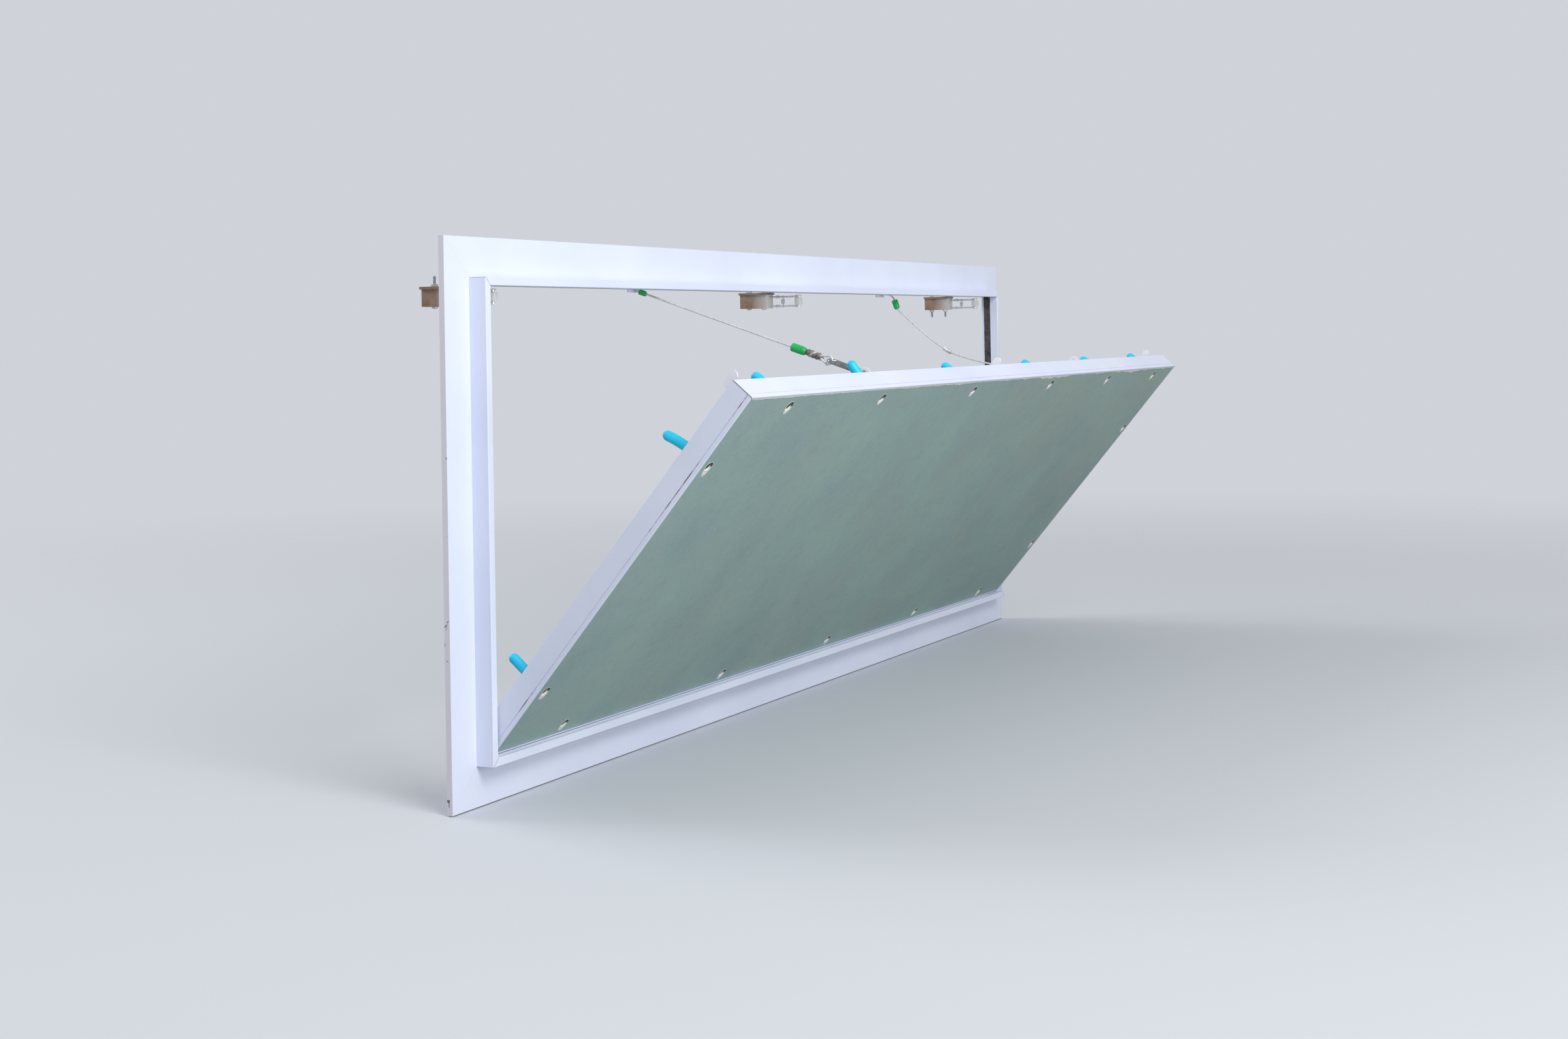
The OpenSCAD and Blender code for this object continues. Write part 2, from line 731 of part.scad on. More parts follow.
module cable_stops() {
    color(steel) for (x = bracket_places) translate([x, 0, lug_hole_z])
        along_y(stop_d, lug_back, lug_back + stop_l);
}

module cable_left() {
    color(steel) swept_tube([for (p = smooth_route(left_route, 16)) [-cable_x, p[0], p[1]]], cable_d);
}

module cable_right() {
    color(steel) swept_tube([for (p = smooth_route(right_route, 3)) [cable_x, p[0], p[1]]], cable_d);
}

// A tube round a cable, drawn along +Y
module crimp(d, y0, y1) {
    difference() {
        along_y(d, y0, y1);
        along_y(crimp_bore, y0 - CUT, y1 + CUT);
    }
}

module crimp_on_right(ends, d) {
    in_cable_plane(cable_x, ends[0], ends[1] - ends[0]) crimp(d, 0, norm(ends[1] - ends[0]));
}

// Sleeve that covers the left cable's knot in front of its lug
module cable_sleeve_top() {
    color(sleeve_green) in_cable_plane(-cable_x, left_route[0], left_route[1] - left_route[0])
        crimp(sleeve_d, top_sleeve_at, top_sleeve_at + top_sleeve_l);
}

module cable_sleeve_right() {
    color(sleeve_green) crimp_on_right(right_sleeve, sleeve_d);
}

module cable_ferrule_right() {
    color(white) crimp_on_right(right_ferrule, ferrule_d);
}

module cable_sleeve_left() {
    color(sleeve_green) in_cable_plane(-cable_x, eye_open, left_pull)
        along_y(sleeve_d, sleeve_at, sleeve_at + sleeve_l);
}

// Two strands that run from the sleeve to a loop round the carabiner's end
module cable_splice_left() {
    color(steel) in_cable_plane(-cable_x, eye_open, left_pull) union() {
        translate([0, loop_at, 0]) rotate([0, 90, 0])
            rotate_extrude() translate([loop_r, 0]) circle(d = cable_d);
        for (s = [-1, 1])
            translate([0, 0, s * strand_out])
                along_y(cable_d, loop_at + loop_r - strand_lap, sleeve_at);
    }
}

// Loop of the slack cable through its bracket's eye, with its crimp
module cable_loop_right() {
    crimp_start = ring_at + ring_r + cable_d / 4;
    color(steel) in_cable_plane(cable_x, eye_open, right_pull) union() {
        translate([0, ring_at, 0]) rotate_extrude() translate([ring_r, 0]) circle(d = cable_d);
        along_y(crimp_d, crimp_start, norm(right_end - eye_open) - axial_play);
    }
}

// Carabiner in the plane of the hinge axis and the left cable; its gate side is open
module at_hook() {
    in_cable_plane(-cable_x, eye_open, left_pull) translate([0, hook_seat + hook_w / 2, 0]) children();
}

module half_ring(flip) {
    mirror([0, flip, 0]) intersection() {
        rotate_extrude() translate([hook_w / 2, 0]) circle(d = hook_d);
        box([-hook_w, -hook_w, -hook_d], [hook_w, 0, hook_d]);
    }
}

module carabiner() {
    color(steel) at_hook() difference() {
        union() {
            half_ring(0);
            translate([0, hook_l, 0]) half_ring(1);
            translate([-hook_w / 2, 0, 0]) along_y(hook_d, 0, hook_l);
            translate([hook_w / 2, 0, 0]) along_y(hook_d, 0, gate_start);
            translate([hook_w / 2, 0, 0]) along_y(hook_d, gate_end + axial_play, hook_l);
            translate([hook_w / 2, gate_start, 0]) cylinder(d = ear_d, h = hook_d, center = true);
        }
        difference() {
            translate([hook_w / 2, gate_start, 0]) cylinder(d = ear_d + 2, h = ear_slot, center = true);
            translate([hook_w / 2, gate_start, 0]) cylinder(d = gate_pin_d, h = hook_d, center = true);
        }
    }
}

module carabiner_gate() {
    tongue = ear_slot - gate_play;
    color(steel) at_hook() translate([hook_w / 2, gate_start, 0]) difference() {
        union() {
            cylinder(d = ear_d - 1, h = tongue, center = true);
            translate([-gate_d / 2, 0, -tongue / 2]) cube([gate_d, ear_d, tongue]);
            along_y(gate_d, ear_d / 2 + axial_play, gate_end - gate_start);
        }
        cylinder(d = gate_pin_d + 2 * run_clear, h = ear_slot, center = true);
    }
}

frame_rail("top");  // frame_top_rail
frame_rail("bottom");  // frame_bottom_rail
frame_rail("left");  // frame_left_rail
frame_rail("right");  // frame_right_rail
frame_corner_keys();
seal("top");  // seal_top
seal("bottom");  // seal_bottom
seal("left");  // seal_left
seal("right");  // seal_right
hinge_pins();
latch_plate(0);  // latch_plate_left
latch_plate(1);  // latch_plate_middle
latch_plate(2);  // latch_plate_right
latch_body(0);  // latch_body_left
latch_body(1);  // latch_body_middle
latch_body(2);  // latch_body_right
latch_screws();
latch_nuts();
latch_fork(0);  // latch_fork_left
latch_fork(1);  // latch_fork_middle
latch_fork(2);  // latch_fork_right
latch_spring(0);  // latch_spring_left
latch_spring(1);  // latch_spring_middle
latch_spring(2);  // latch_spring_right
roller_pin(0);  // roller_pin_left
roller_pin(1);  // roller_pin_middle
roller_pin(2);  // roller_pin_right
latch_roller(0);  // latch_roller_left
latch_roller(1);  // latch_roller_middle
latch_roller(2);  // latch_roller_right
cable_anchor(0);  // cable_anchor_left
cable_anchor(1);  // cable_anchor_right
cable_stops();
cable_left();
cable_right();
cable_sleeve_top();
cable_sleeve_right();
cable_ferrule_right();
door_rail("top");  // door_top_rail
door_rail("bottom");  // door_bottom_rail
door_rail("left");  // door_left_rail
door_rail("right");  // door_right_rail
door_corner_keys();
door_board();
board_screws();
screw_caps();
hinge_bushes();
striker(0);  // striker_left
striker(1);  // striker_middle
striker(2);  // striker_right
cable_bracket(0);  // cable_bracket_left
cable_bracket(1);  // cable_bracket_right
bracket_rivets();
cable_sleeve_left();
cable_splice_left();
carabiner();
carabiner_gate();
cable_loop_right();
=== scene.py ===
"""Looks of a flush access panel: a white frame with a drop-down plaster-board door.

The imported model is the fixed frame. This script lays the two safety cables, makes the pieces that are
soft, wound or torn, and gives every node and piece its own procedural finish.
"""

from __future__ import annotations

import logging
import math
from dataclasses import dataclass
from enum import Enum
from functools import cache
from typing import Any, Sequence, Union

import bpy
import numpy as np
from mathutils import Matrix, Vector

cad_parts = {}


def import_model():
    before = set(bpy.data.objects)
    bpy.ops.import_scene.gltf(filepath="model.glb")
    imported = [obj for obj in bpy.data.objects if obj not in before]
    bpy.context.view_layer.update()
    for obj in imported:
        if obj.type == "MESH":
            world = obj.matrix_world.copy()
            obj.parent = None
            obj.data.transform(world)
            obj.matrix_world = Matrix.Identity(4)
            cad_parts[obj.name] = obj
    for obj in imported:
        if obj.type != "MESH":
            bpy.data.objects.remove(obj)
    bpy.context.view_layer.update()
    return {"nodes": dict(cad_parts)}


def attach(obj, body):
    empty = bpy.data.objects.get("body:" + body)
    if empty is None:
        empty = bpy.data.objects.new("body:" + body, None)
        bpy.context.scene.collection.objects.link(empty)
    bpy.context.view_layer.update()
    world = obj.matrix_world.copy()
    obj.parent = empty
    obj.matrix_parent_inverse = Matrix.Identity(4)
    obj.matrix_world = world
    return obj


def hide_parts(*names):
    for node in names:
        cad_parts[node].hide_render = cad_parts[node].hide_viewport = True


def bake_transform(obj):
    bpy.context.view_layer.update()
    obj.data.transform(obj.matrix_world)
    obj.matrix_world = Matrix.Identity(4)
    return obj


LOG = logging.getLogger("access_panel")

Material = bpy.types.Material
Object = bpy.types.Object
Tree = bpy.types.NodeTree
# What feeds a node's input: a socket, or a node whose first output in use is meant.
Source = Union[bpy.types.Node, bpy.types.NodeSocket]

MM = 0.001
HINGE = np.array((0.0, -12.5, -190.0)) * MM
OPEN_ANGLE = math.radians(40.0)
X_AXIS = np.array((1.0, 0.0, 0.0))
Y_AXIS = np.array((0.0, 1.0, 0.0))
Z_AXIS = np.array((0.0, 0.0, 1.0))
SHARP_ANGLE = math.radians(35.0)
TUBE_SIDES = 40
FERRULE_RINGS = 41
# Numbers of the Mix node's two colour inputs.
COLOUR_A = 6
COLOUR_B = 7


class Leaf(Enum):
    """The two mitred leaves: half width and half height at the mitre, and the turn that closes it."""

    FRAME = (602.0 * MM, 202.0 * MM, 0.0)
    DOOR = (600.0 * MM, 200.0 * MM, -OPEN_ANGLE)


class Slot(Enum):
    """Names of material slots, handed to the cable tubes, which don't use them."""

    ROPE = "wire_rope"
    SLEEVE = "sleeve_plastic"
    FERRULE = "ferrule_alloy"
    CAP = "cap_plastic"
    STEEL = "zinc_steel"
    BOARD = "board"
    FOAM = "foam"


class Ease(Enum):
    """How a pattern changes from its least to its most."""

    EVEN = "LINEAR"
    SOFT = "SMOOTHSTEP"


# Shapes


def unit(v: np.ndarray) -> np.ndarray:
    """Vectors scaled to length one along the last axis."""
    return v / np.linalg.norm(v, axis=-1, keepdims=True)


def around(sides: int) -> np.ndarray:
    """That many angles at equal steps once round."""
    return np.arange(sides) * math.tau / sides


def in_plane(x: float, pairs: Sequence[Sequence[float]]) -> np.ndarray:
    """Pairs of y and z in millimetres as points in metres in the plane across the hinge at x."""
    flat = np.asarray(pairs, float)
    return np.column_stack((np.full(len(flat), x), flat)) * MM


def swung(points: np.ndarray) -> np.ndarray:
    """Points drawn on the closed door, turned about the hinge axis to the open door.

    Args:
        points: places on the closed door, any shape with three at the end.

    Returns:
        The same places with y and z turned by the opening angle about the hinge.
    """
    y = points[..., 1] - HINGE[1]
    z = points[..., 2] - HINGE[2]
    c, s = math.cos(OPEN_ANGLE), math.sin(OPEN_ANGLE)
    return np.stack((points[..., 0], HINGE[1] + c * y - s * z, HINGE[2] + s * y + c * z), axis=-1)


def run_of(path: np.ndarray) -> np.ndarray:
    """Length along a path from its start to each of its points."""
    return np.concatenate(([0.0], np.cumsum(np.linalg.norm(np.diff(path, axis=0), axis=1))))


def resampled(path: np.ndarray, count: int) -> np.ndarray:
    """The same path with its points at equal steps of length, each on the line between two old ones.

    Args:
        path: the path's points.
        count: how many points to return.

    Returns:
        The new points.
    """
    run = run_of(path)
    even = np.linspace(0.0, run[-1], count)
    return np.stack([np.interp(even, run, path[:, k]) for k in range(3)], axis=1)


def smooth_route(route: np.ndarray, count: int, steps: int = 24) -> np.ndarray:
    """A smooth curve through a route's points, at equal steps of length.

    Between two points b and c, with neighbours a and d, the curve is half of
    2b + (c - a)t + (2a - 5b + 4c - d)t^2 + (3b - a - 3c + d)t^3, for t from 0 to 1.

    Args:
        route: the points to pass through.
        count: how many points to return.
        steps: how many points the curve has between two of the route's.

    Returns:
        The points along the curve.
    """
    held = np.vstack((route[:1], route, route[-1:]))
    a, b, c, d = (held[k : len(route) - 1 + k, None, :] for k in range(4))
    t = (np.arange(steps) / steps)[None, :, None]
    second = (2 * a - 5 * b + 4 * c - d) * t**2
    third = (3 * b - a - 3 * c + d) * t**3
    curve = 0.5 * (2 * b + (c - a) * t + second + third)
    return resampled(np.vstack((curve.reshape(-1, 3), route[-1:])), count)


def swept(path: np.ndarray, radius: np.ndarray | float, sides: int, side_hint: np.ndarray,
          way: np.ndarray | None = None) -> np.ndarray:
    """A round profile carried along a path.

    Ring i, corner j is path[i] + radius[i, j] (side cos a + other sin a), where a goes once round,
    side is the hint made square to the path, and other is square to both.

    Args:
        path: points of the middle line.
        radius: one number, a column with one for each ring, or a grid with one for each corner.
        sides: corners of a ring.
        side_hint: a direction that is nowhere along the path.
        way: the path's direction at each point, where its points don't give it.

    Returns:
        The rings, as an array of rings by corners by three.
    """
    way = unit(np.gradient(path, axis=0) if way is None else way)
    side = unit(side_hint - (way @ side_hint)[:, None] * way)
    other = np.cross(way, side)
    angle = around(sides)[:, None]
    spokes = side[:, None] * np.cos(angle) + other[:, None] * np.sin(angle)
    reach = np.broadcast_to(np.asarray(radius, float), (len(path), sides))
    return path[:, None] + reach[..., None] * spokes


def turned(profile: np.ndarray, origin: np.ndarray, way: np.ndarray, sides: int,
           dents: np.ndarray | float = 1.0) -> np.ndarray:
    """A profile of (distance along, radius) pairs turned once round a straight axis across the hinge.

    Args:
        profile: pairs in metres, from one end to the other.
        origin: where the axis starts.
        way: direction of the axis, square to the hinge's.
        sides: corners of a ring.
        dents: factors on the radius for each ring and corner, or 1 for a round piece.

    Returns:
        The rings, one for each pair.
    """
    way = np.broadcast_to(unit(way), (len(profile), 3))
    return swept(origin + profile[:, :1] * way, profile[:, 1:] * dents, sides, X_AXIS, way)


def rope_radius(run: np.ndarray, sides: int, size: float, lay: float, strands: int = 6) -> np.ndarray:
    """Radius of a laid rope: size / 2 times (0.9 + 0.1 |cos(n / 2 (a - turn))|), with one turn in each lay.

    Args:
        run: length along the rope at each ring.
        sides: corners of a ring.
        size: the rope's diameter.
        lay: length in which a strand goes once round.
        strands: number n of strands that show.

    Returns:
        A radius for each ring and corner.
    """
    phase = around(sides) - math.tau * run[:, None] / lay
    return size / 2 * (0.9 + 0.1 * np.abs(np.cos(strands / 2 * phase)))


@dataclass
class Skin:
    """A part of a mesh: points, quads, triangles and one number for each point that finishes read."""

    points: np.ndarray
    quads: np.ndarray
    triangles: np.ndarray
    tag: np.ndarray

    @staticmethod
    def numbers(rings: np.ndarray) -> tuple[np.ndarray, np.ndarray]:
        """Numbers of the rings' points, and of the next point round in each ring."""
        index = np.arange(rings.shape[0] * rings.shape[1]).reshape(rings.shape[:2])
        return index, np.roll(index, -1, axis=1)

    @classmethod
    def closed(cls, rings: np.ndarray, tag: np.ndarray | float = 0.0) -> "Skin":
        """Skins rings into a closed tube whose ends are fans round their middle.

        Args:
            rings: array of rings by corners by three, turning right-handed about the way they run.
            tag: one number, or one for each ring.

        Returns:
            The skin, with its faces pointing outwards.
        """
        index, after = cls.numbers(rings)
        quads = np.stack((index[:-1], after[:-1], after[1:], index[1:]), axis=-1).reshape(-1, 4)
        first, last = index.size, index.size + 1
        start = np.stack((np.full(len(index[0]), first), after[0], index[0]), axis=1)
        end = np.stack((np.full(len(index[0]), last), index[-1], after[-1]), axis=1)
        points = np.vstack((rings.reshape(-1, 3), rings[0].mean(0), rings[-1].mean(0)))
        values = np.broadcast_to(np.asarray(tag, float).reshape(-1, 1), index.shape).ravel()
        return cls(points, quads, np.vstack((start, end)), np.concatenate((values, values[:1], values[-1:])))

    @classmethod
    def hoop(cls, rings: np.ndarray, tag: np.ndarray) -> "Skin":
        """Skins rings into a hoop: the last ring is joined to the first, so that it has no ends.

        Args:
            rings: array of rings by corners by three.
            tag: one number for each ring and corner.

        Returns:
            The skin.
        """
        index, after = cls.numbers(rings)
        quads = np.stack((index, after, np.roll(after, -1, axis=0), np.roll(index, -1, axis=0)), axis=-1)
        return cls(rings.reshape(-1, 3), quads.reshape(-1, 4), np.zeros((0, 3), int), tag.ravel())

    @classmethod
    def tube(cls, ends: np.ndarray, profile: np.ndarray, dents: np.ndarray | float = 1.0) -> "Skin":
        """Skins a turned tube between two points, its profile given by pairs of share along and radius.

        Args:
            ends: the two points.
            profile: the pairs, with the radius in metres.
            dents: factors on the radius, where the tube isn't round.

        Returns:
            The tube's skin.
        """
        axis = ends[1] - ends[0]
        pairs = profile * np.array((np.linalg.norm(axis), 1.0))
        return cls.closed(turned(pairs, ends[0], axis, TUBE_SIDES, dents))


def piece(name: str, skins: Sequence[Skin], finish: Finish, node: str | None = None,
          body: str | None = None) -> Object:
    """Joins skins into one object at the origin, with its place in its mesh.

    Args:
        name: the piece's name.
        skins: parts of the mesh.
        finish: its finish.
        node: the CAD node that it stands for, if there is one.
        body: the body that it rides on, if there is one.

    Returns:
        The object, smooth apart from its sharp edges.
    """
    starts = np.cumsum([0] + [len(s.points) for s in skins[:-1]])
    faces = [f for s, n in zip(skins, starts) for f in (s.quads + n).tolist() + (s.triangles + n).tolist()]
    mesh = bpy.data.meshes.new(name)
    mesh.from_pydata(np.vstack([s.points for s in skins]).tolist(), [], faces)
    mesh.polygons.foreach_set("use_smooth", np.ones(len(mesh.polygons), bool))
    tag = mesh.attributes.new("tag", "FLOAT", "POINT")
    tag.data.foreach_set("value", np.concatenate([s.tag for s in skins]).astype(np.float32))
    mesh.set_sharp_from_angle(angle=SHARP_ANGLE)
    mesh.materials.append(finish.material())
    obj = bpy.data.objects.new(name, mesh)
    bpy.context.scene.collection.objects.link(obj)
    if node:
        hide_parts(node)
    if body:
        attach(obj, body)
    LOG.info("piece %s: %d points", name, len(mesh.vertices))
    return obj


# Finishes


def linear(code: str) -> tuple[float, float, float, float]:
    """An sRGB hex value as linear colour, by the two parts of the standard's own curve.

    Args:
        code: six hex digits.

    Returns:
        Red, green, blue and an alpha of 1.
    """
    srgb = np.array([int(code[k : k + 2], 16) for k in (0, 2, 4)]) / 255
    low = srgb / 12.92
    high = ((srgb + 0.055) / 1.055) ** 2.4
    return (*np.where(srgb <= 0.04045, low, high).tolist(), 1.0)


def per_mm(size: float) -> float:
    """Texture scale that gives a pattern of that size in millimetres."""
    return 1.0 / (size * MM)


def add(tree: Tree, kind: str, values: dict[Any, Any], links: dict[Any, Source]) -> bpy.types.Node:
    """Adds a node, sets its options and inputs, and links what feeds its inputs.

    Args:
        tree: the node tree.
        kind: Blender's name of the node, without its ShaderNode start.
        values: option names, or input names and numbers, with their values.
        links: input names and numbers, with the sockets or nodes that feed them.

    Returns:
        The node.
    """
    node = tree.nodes.new("ShaderNode" + kind)
    for key, value in values.items():
        if isinstance(key, str) and key not in node.inputs:
            setattr(node, key, value)
        else:
            node.inputs[key].default_value = value
    for key, source in links.items():
        if isinstance(source, bpy.types.Node):
            source = next(output for output in source.outputs if output.enabled)
        tree.links.new(source, node.inputs[key])
    return node


@dataclass(frozen=True)
class Patches:
    """Patches drawn by a noise of a real size, cut between two of its levels.

    The noise has detail and rough as its own settings. The patches give least where it is under low and
    most where it is over high, with an even or a soft change between.
    """

    size_mm: float
    detail: float
    rough: float
    low: float
    high: float
    least: float = 0.0
    most: float = 1.0
    ease: Ease = Ease.EVEN

    def lay(self, tree: Tree, place: Source) -> Source:
        """The patches in those coordinates, as how much of them shows."""
        noise = add(tree, "TexNoise", {"Scale": per_mm(self.size_mm), "Detail": self.detail,
                                       "Roughness": self.rough}, {"Vector": place})
        return add(tree, "MapRange", {"interpolation_type": self.ease.value, "From Min": self.low,
                                      "From Max": self.high, "To Min": self.least, "To Max": self.most},
                   {"Value": noise})


@dataclass(frozen=True)
class Finish:
    """A surface of two tones with a fine grain, both read in Object coordinates.

    tone and shade are sRGB hex values, blotch_mm the size of the change between them, grain_mm and
    grain_depth_mm the size and height of the surface's grain, rough its roughness and spread how much
    that changes with the grain.
    """

    name: str
    tone: str
    shade: str
    blotch_mm: float
    grain_mm: float
    grain_depth_mm: float
    rough: float
    spread: float
    metallic: float = 0.0
    ior: float = 1.5

    def place(self, tree: Tree) -> Source:
        """Coordinates that the patterns are drawn in."""
        return add(tree, "TexCoord", {}, {}).outputs["Object"]

    def grain(self, tree: Tree, place: Source) -> Source:
        """Height of the surface's own grain, between 0 and 1."""
        return add(tree, "TexNoise", {"Scale": per_mm(self.grain_mm), "Detail": 3.0, "Roughness": 0.6},
                   {"Vector": place})

    def relief(self, tree: Tree, place: Source, grain: Source) -> Source:
        """Height that the bump follows; a finish with more than its grain adds to it here."""
        return grain

    def layers(self, tree: Tree, place: Source) -> list[tuple[str, Source]]:
        """Colours over the two tones, from the lowest up, each with how much of it shows."""
        return []

    def colour(self, tree: Tree, place: Source) -> Source:
        """The two tones mixed by soft patches, with the finish's layers over them.

        Args:
            tree: the material's nodes.
            place: the coordinates of the patterns.

        Returns:
            The node that gives the colour.
        """
        blotches = Patches(self.blotch_mm, detail=4.0, rough=0.55, low=0.35, high=0.7)
        colour = add(tree, "Mix", {"data_type": "RGBA", COLOUR_A: linear(self.tone),
                                   COLOUR_B: linear(self.shade)}, {"Factor": blotches.lay(tree, place)})
        for tone, amount in self.layers(tree, place):
            colour = add(tree, "Mix", {"data_type": "RGBA", COLOUR_B: linear(tone)},
                         {"Factor": amount, COLOUR_A: colour})
        return colour

    @cache
    def material(self) -> Material:
        """The finish's material, built at its first use.

        Returns:
            A material with a Principled shader fed by the finish's colour, roughness and bump.
        """
        material = bpy.data.materials.new(self.name)
        material.use_nodes = True
        tree = material.node_tree
        tree.nodes.clear()
        place = self.place(tree)
        grain = self.grain(tree, place)
        rough = add(tree, "MapRange", {"To Min": self.rough - self.spread,
                                       "To Max": self.rough + self.spread}, {"Value": grain})
        bump = add(tree, "Bump", {"Strength": 1.0, "Distance": self.grain_depth_mm * MM},
                   {"Height": self.relief(tree, place, grain)})
        shader = add(tree, "BsdfPrincipled", {"Metallic": self.metallic, "IOR": self.ior},
                     {"Base Color": self.colour(tree, place), "Roughness": rough, "Normal": bump})
        add(tree, "OutputMaterial", {}, {"Surface": shader})
        material.diffuse_color = linear(self.tone)
        return material


@dataclass(frozen=True)
class MitredCoat(Finish):
    """Powder coat on mitred rails: a faint orange peel, and a hairline of dust in each mitre joint.

    The joint shows fully on the lip, in front of the flange, and by the share flush on what lies behind.
    A line is full up to the share core of its half width, and fades softly to nothing at the share fade.
    """

    leaf: Leaf = Leaf.FRAME
    dust: str = "8C8690"
    seam_mm: float = 0.5
    flush: float = 0.12
    lip_depth: float = 2.0 * MM
    core: float = 0.6
    fade: float = 1.5

    def place(self, tree: Tree) -> Source:
        """Object coordinates, turned back to the closed door for the door's rails."""
        return add(tree, "VectorRotate", {"rotation_type": "X_AXIS", "Center": tuple(HINGE),
                                          "Angle": self.leaf.value[2]}, {"Vector": super().place(tree)})

    def line(self, tree: Tree, value: Source, middle: float, half: float) -> Source:
        """A soft line where a value is near its middle, by their distance |value - middle|.

        Args:
            tree: the material's nodes.
            value: the value at each place.
            middle: the value in the middle of the line.
            half: half of the line's width.

        Returns:
            The node that gives 1 in the line and 0 beside it.
        """
        apart = add(tree, "Math", {"operation": "SUBTRACT", 1: middle}, {0: value})
        off = add(tree, "Math", {"operation": "ABSOLUTE"}, {0: apart})
        return add(tree, "MapRange", {"interpolation_type": Ease.SOFT.value, "From Min": self.core * half,
                                      "From Max": self.fade * half, "To Min": 1.0, "To Max": 0.0},
                   {"Value": off})

    def folded(self, tree: Tree, place: Source) -> tuple[Source, Source, Source]:
        """Distances from the panel's two middle planes, which all four corners share, and the depth.

        Args:
            tree: the material's nodes.
            place: the coordinates.

        Returns:
            |x|, |z| and y.
        """
        axes = add(tree, "SeparateXYZ", {}, {0: place})
        wide, high = (add(tree, "Math", {"operation": "ABSOLUTE"}, {0: axes.outputs[k]}) for k in "XZ")
        return wide, high, axes.outputs["Y"]

    def seam(self, tree: Tree, place: Source) -> Source:
        """The mitre joints: a line on each corner's diagonal, where |x| - w = |z| - h.

        Args:
            tree: the material's nodes.
            place: the coordinates on the closed leaf.

        Returns:
            The node that gives how much of the joint shows.
        """
        half_w, half_h, _ = self.leaf.value
        wide, high, back = self.folded(tree, place)
        apart = add(tree, "Math", {"operation": "SUBTRACT"}, {0: wide, 1: high})
        joint = self.line(tree, apart, half_w - half_h, self.seam_mm * MM)
        shown = add(tree, "MapRange", {"From Min": -self.lip_depth, "From Max": 0.0, "To Min": 1.0,
                                       "To Max": self.flush}, {"Value": back})
        return add(tree, "Math", {"operation": "MULTIPLY"}, {0: joint, 1: shown})

    def layers(self, tree: Tree, place: Source) -> list[tuple[str, Source]]:
        """Dust in the mitre joints."""
        return [(self.dust, self.seam(tree, place))]


@dataclass(frozen=True)
class FrameCoat(MitredCoat):
    """The frame's coat, dusty on its outer rim and chipped there.

    The rim starts one edge break inside the outer sizes rim_w and rim_h, and is whole at the share full
    of that break.
    """

    rim_dust: str = "DDD5D8"
    dusting: float = 0.55
    chip: str = "6E6468"
    chips: Patches = Patches(9.0, detail=3.0, rough=0.6, low=0.68, high=0.72)
    rim_w: float = 644.4 * MM
    rim_h: float = 244.4 * MM
    edge: float = 0.6 * MM
    full: float = 0.2

    def rim(self, tree: Tree, place: Source) -> Source:
        """The outer rim, by the larger of |x| - w and |z| - h.

        Args:
            tree: the material's nodes.
            place: the coordinates.

        Returns:
            The node that gives 1 on the rim and 0 inside it.
        """
        wide, high, _ = self.folded(tree, place)
        past_w = add(tree, "Math", {"operation": "SUBTRACT", 1: self.rim_w}, {0: wide})
        past_h = add(tree, "Math", {"operation": "SUBTRACT", 1: self.rim_h}, {0: high})
        past = add(tree, "Math", {"operation": "MAXIMUM"}, {0: past_w, 1: past_h})
        return add(tree, "MapRange", {"From Min": -self.edge, "From Max": -self.full * self.edge},
                   {"Value": past})

    def layers(self, tree: Tree, place: Source) -> list[tuple[str, Source]]:
        """The joints' dust, then the rim's dust and its chips.

        Args:
            tree: the material's nodes.
            place: the coordinates of the patterns.

        Returns:
            The colours with how much of each shows.
        """
        rim = self.rim(tree, place)
        dusty = add(tree, "Math", {"operation": "MULTIPLY", 1: self.dusting}, {0: rim})
        chipped = add(tree, "Math", {"operation": "MULTIPLY"}, {0: rim, 1: self.chips.lay(tree, place)})
        return [*super().layers(tree, place), (self.rim_dust, dusty), (self.chip, chipped)]


@dataclass(frozen=True)
class DoorCoat(MitredCoat):
    """The door's coat, with a broken line of painted shade in the groove behind its front edge.

    Over the heights upper_from to upper_to the painted shade falls to the share upper, so that the door's
    upper side has little of it.
    """

    # Painted shade: the dark colour of the line in the groove.
    groove_shade: str = "6A6068"
    patches: Patches = Patches(42.0, detail=5.0, rough=0.7, low=0.47, high=0.60, least=0.02)
    groove_y: float = -13.5 * MM
    groove_half: float = 0.45 * MM
    upper_from: float = 197.0 * MM
    upper_to: float = 199.0 * MM
    upper: float = 0.12

    def painted_groove_shade(self, tree: Tree, place: Source) -> Source:
        """Painted shade in the groove: a line at the groove's depth, times the patches, times the fall at the
        top.

        Args:
            tree: the material's nodes.
            place: the coordinates on the closed door.

        Returns:
            The node that gives how much dirt shows.
        """
        axes = add(tree, "SeparateXYZ", {}, {0: place})
        line = self.line(tree, axes.outputs["Y"], self.groove_y, self.groove_half)
        below = add(tree, "MapRange", {"From Min": self.upper_from, "From Max": self.upper_to, "To Min": 1.0,
                                       "To Max": self.upper}, {"Value": axes.outputs["Z"]})
        broken = add(tree, "Math", {"operation": "MULTIPLY"}, {0: line, 1: self.patches.lay(tree, place)})
        return add(tree, "Math", {"operation": "MULTIPLY"}, {0: broken, 1: below})

    def layers(self, tree: Tree, place: Source) -> list[tuple[str, Source]]:
        """The joints' dust, then the painted shade in the groove."""
        return [*super().layers(tree, place), (self.groove_shade, self.painted_groove_shade(tree, place))]


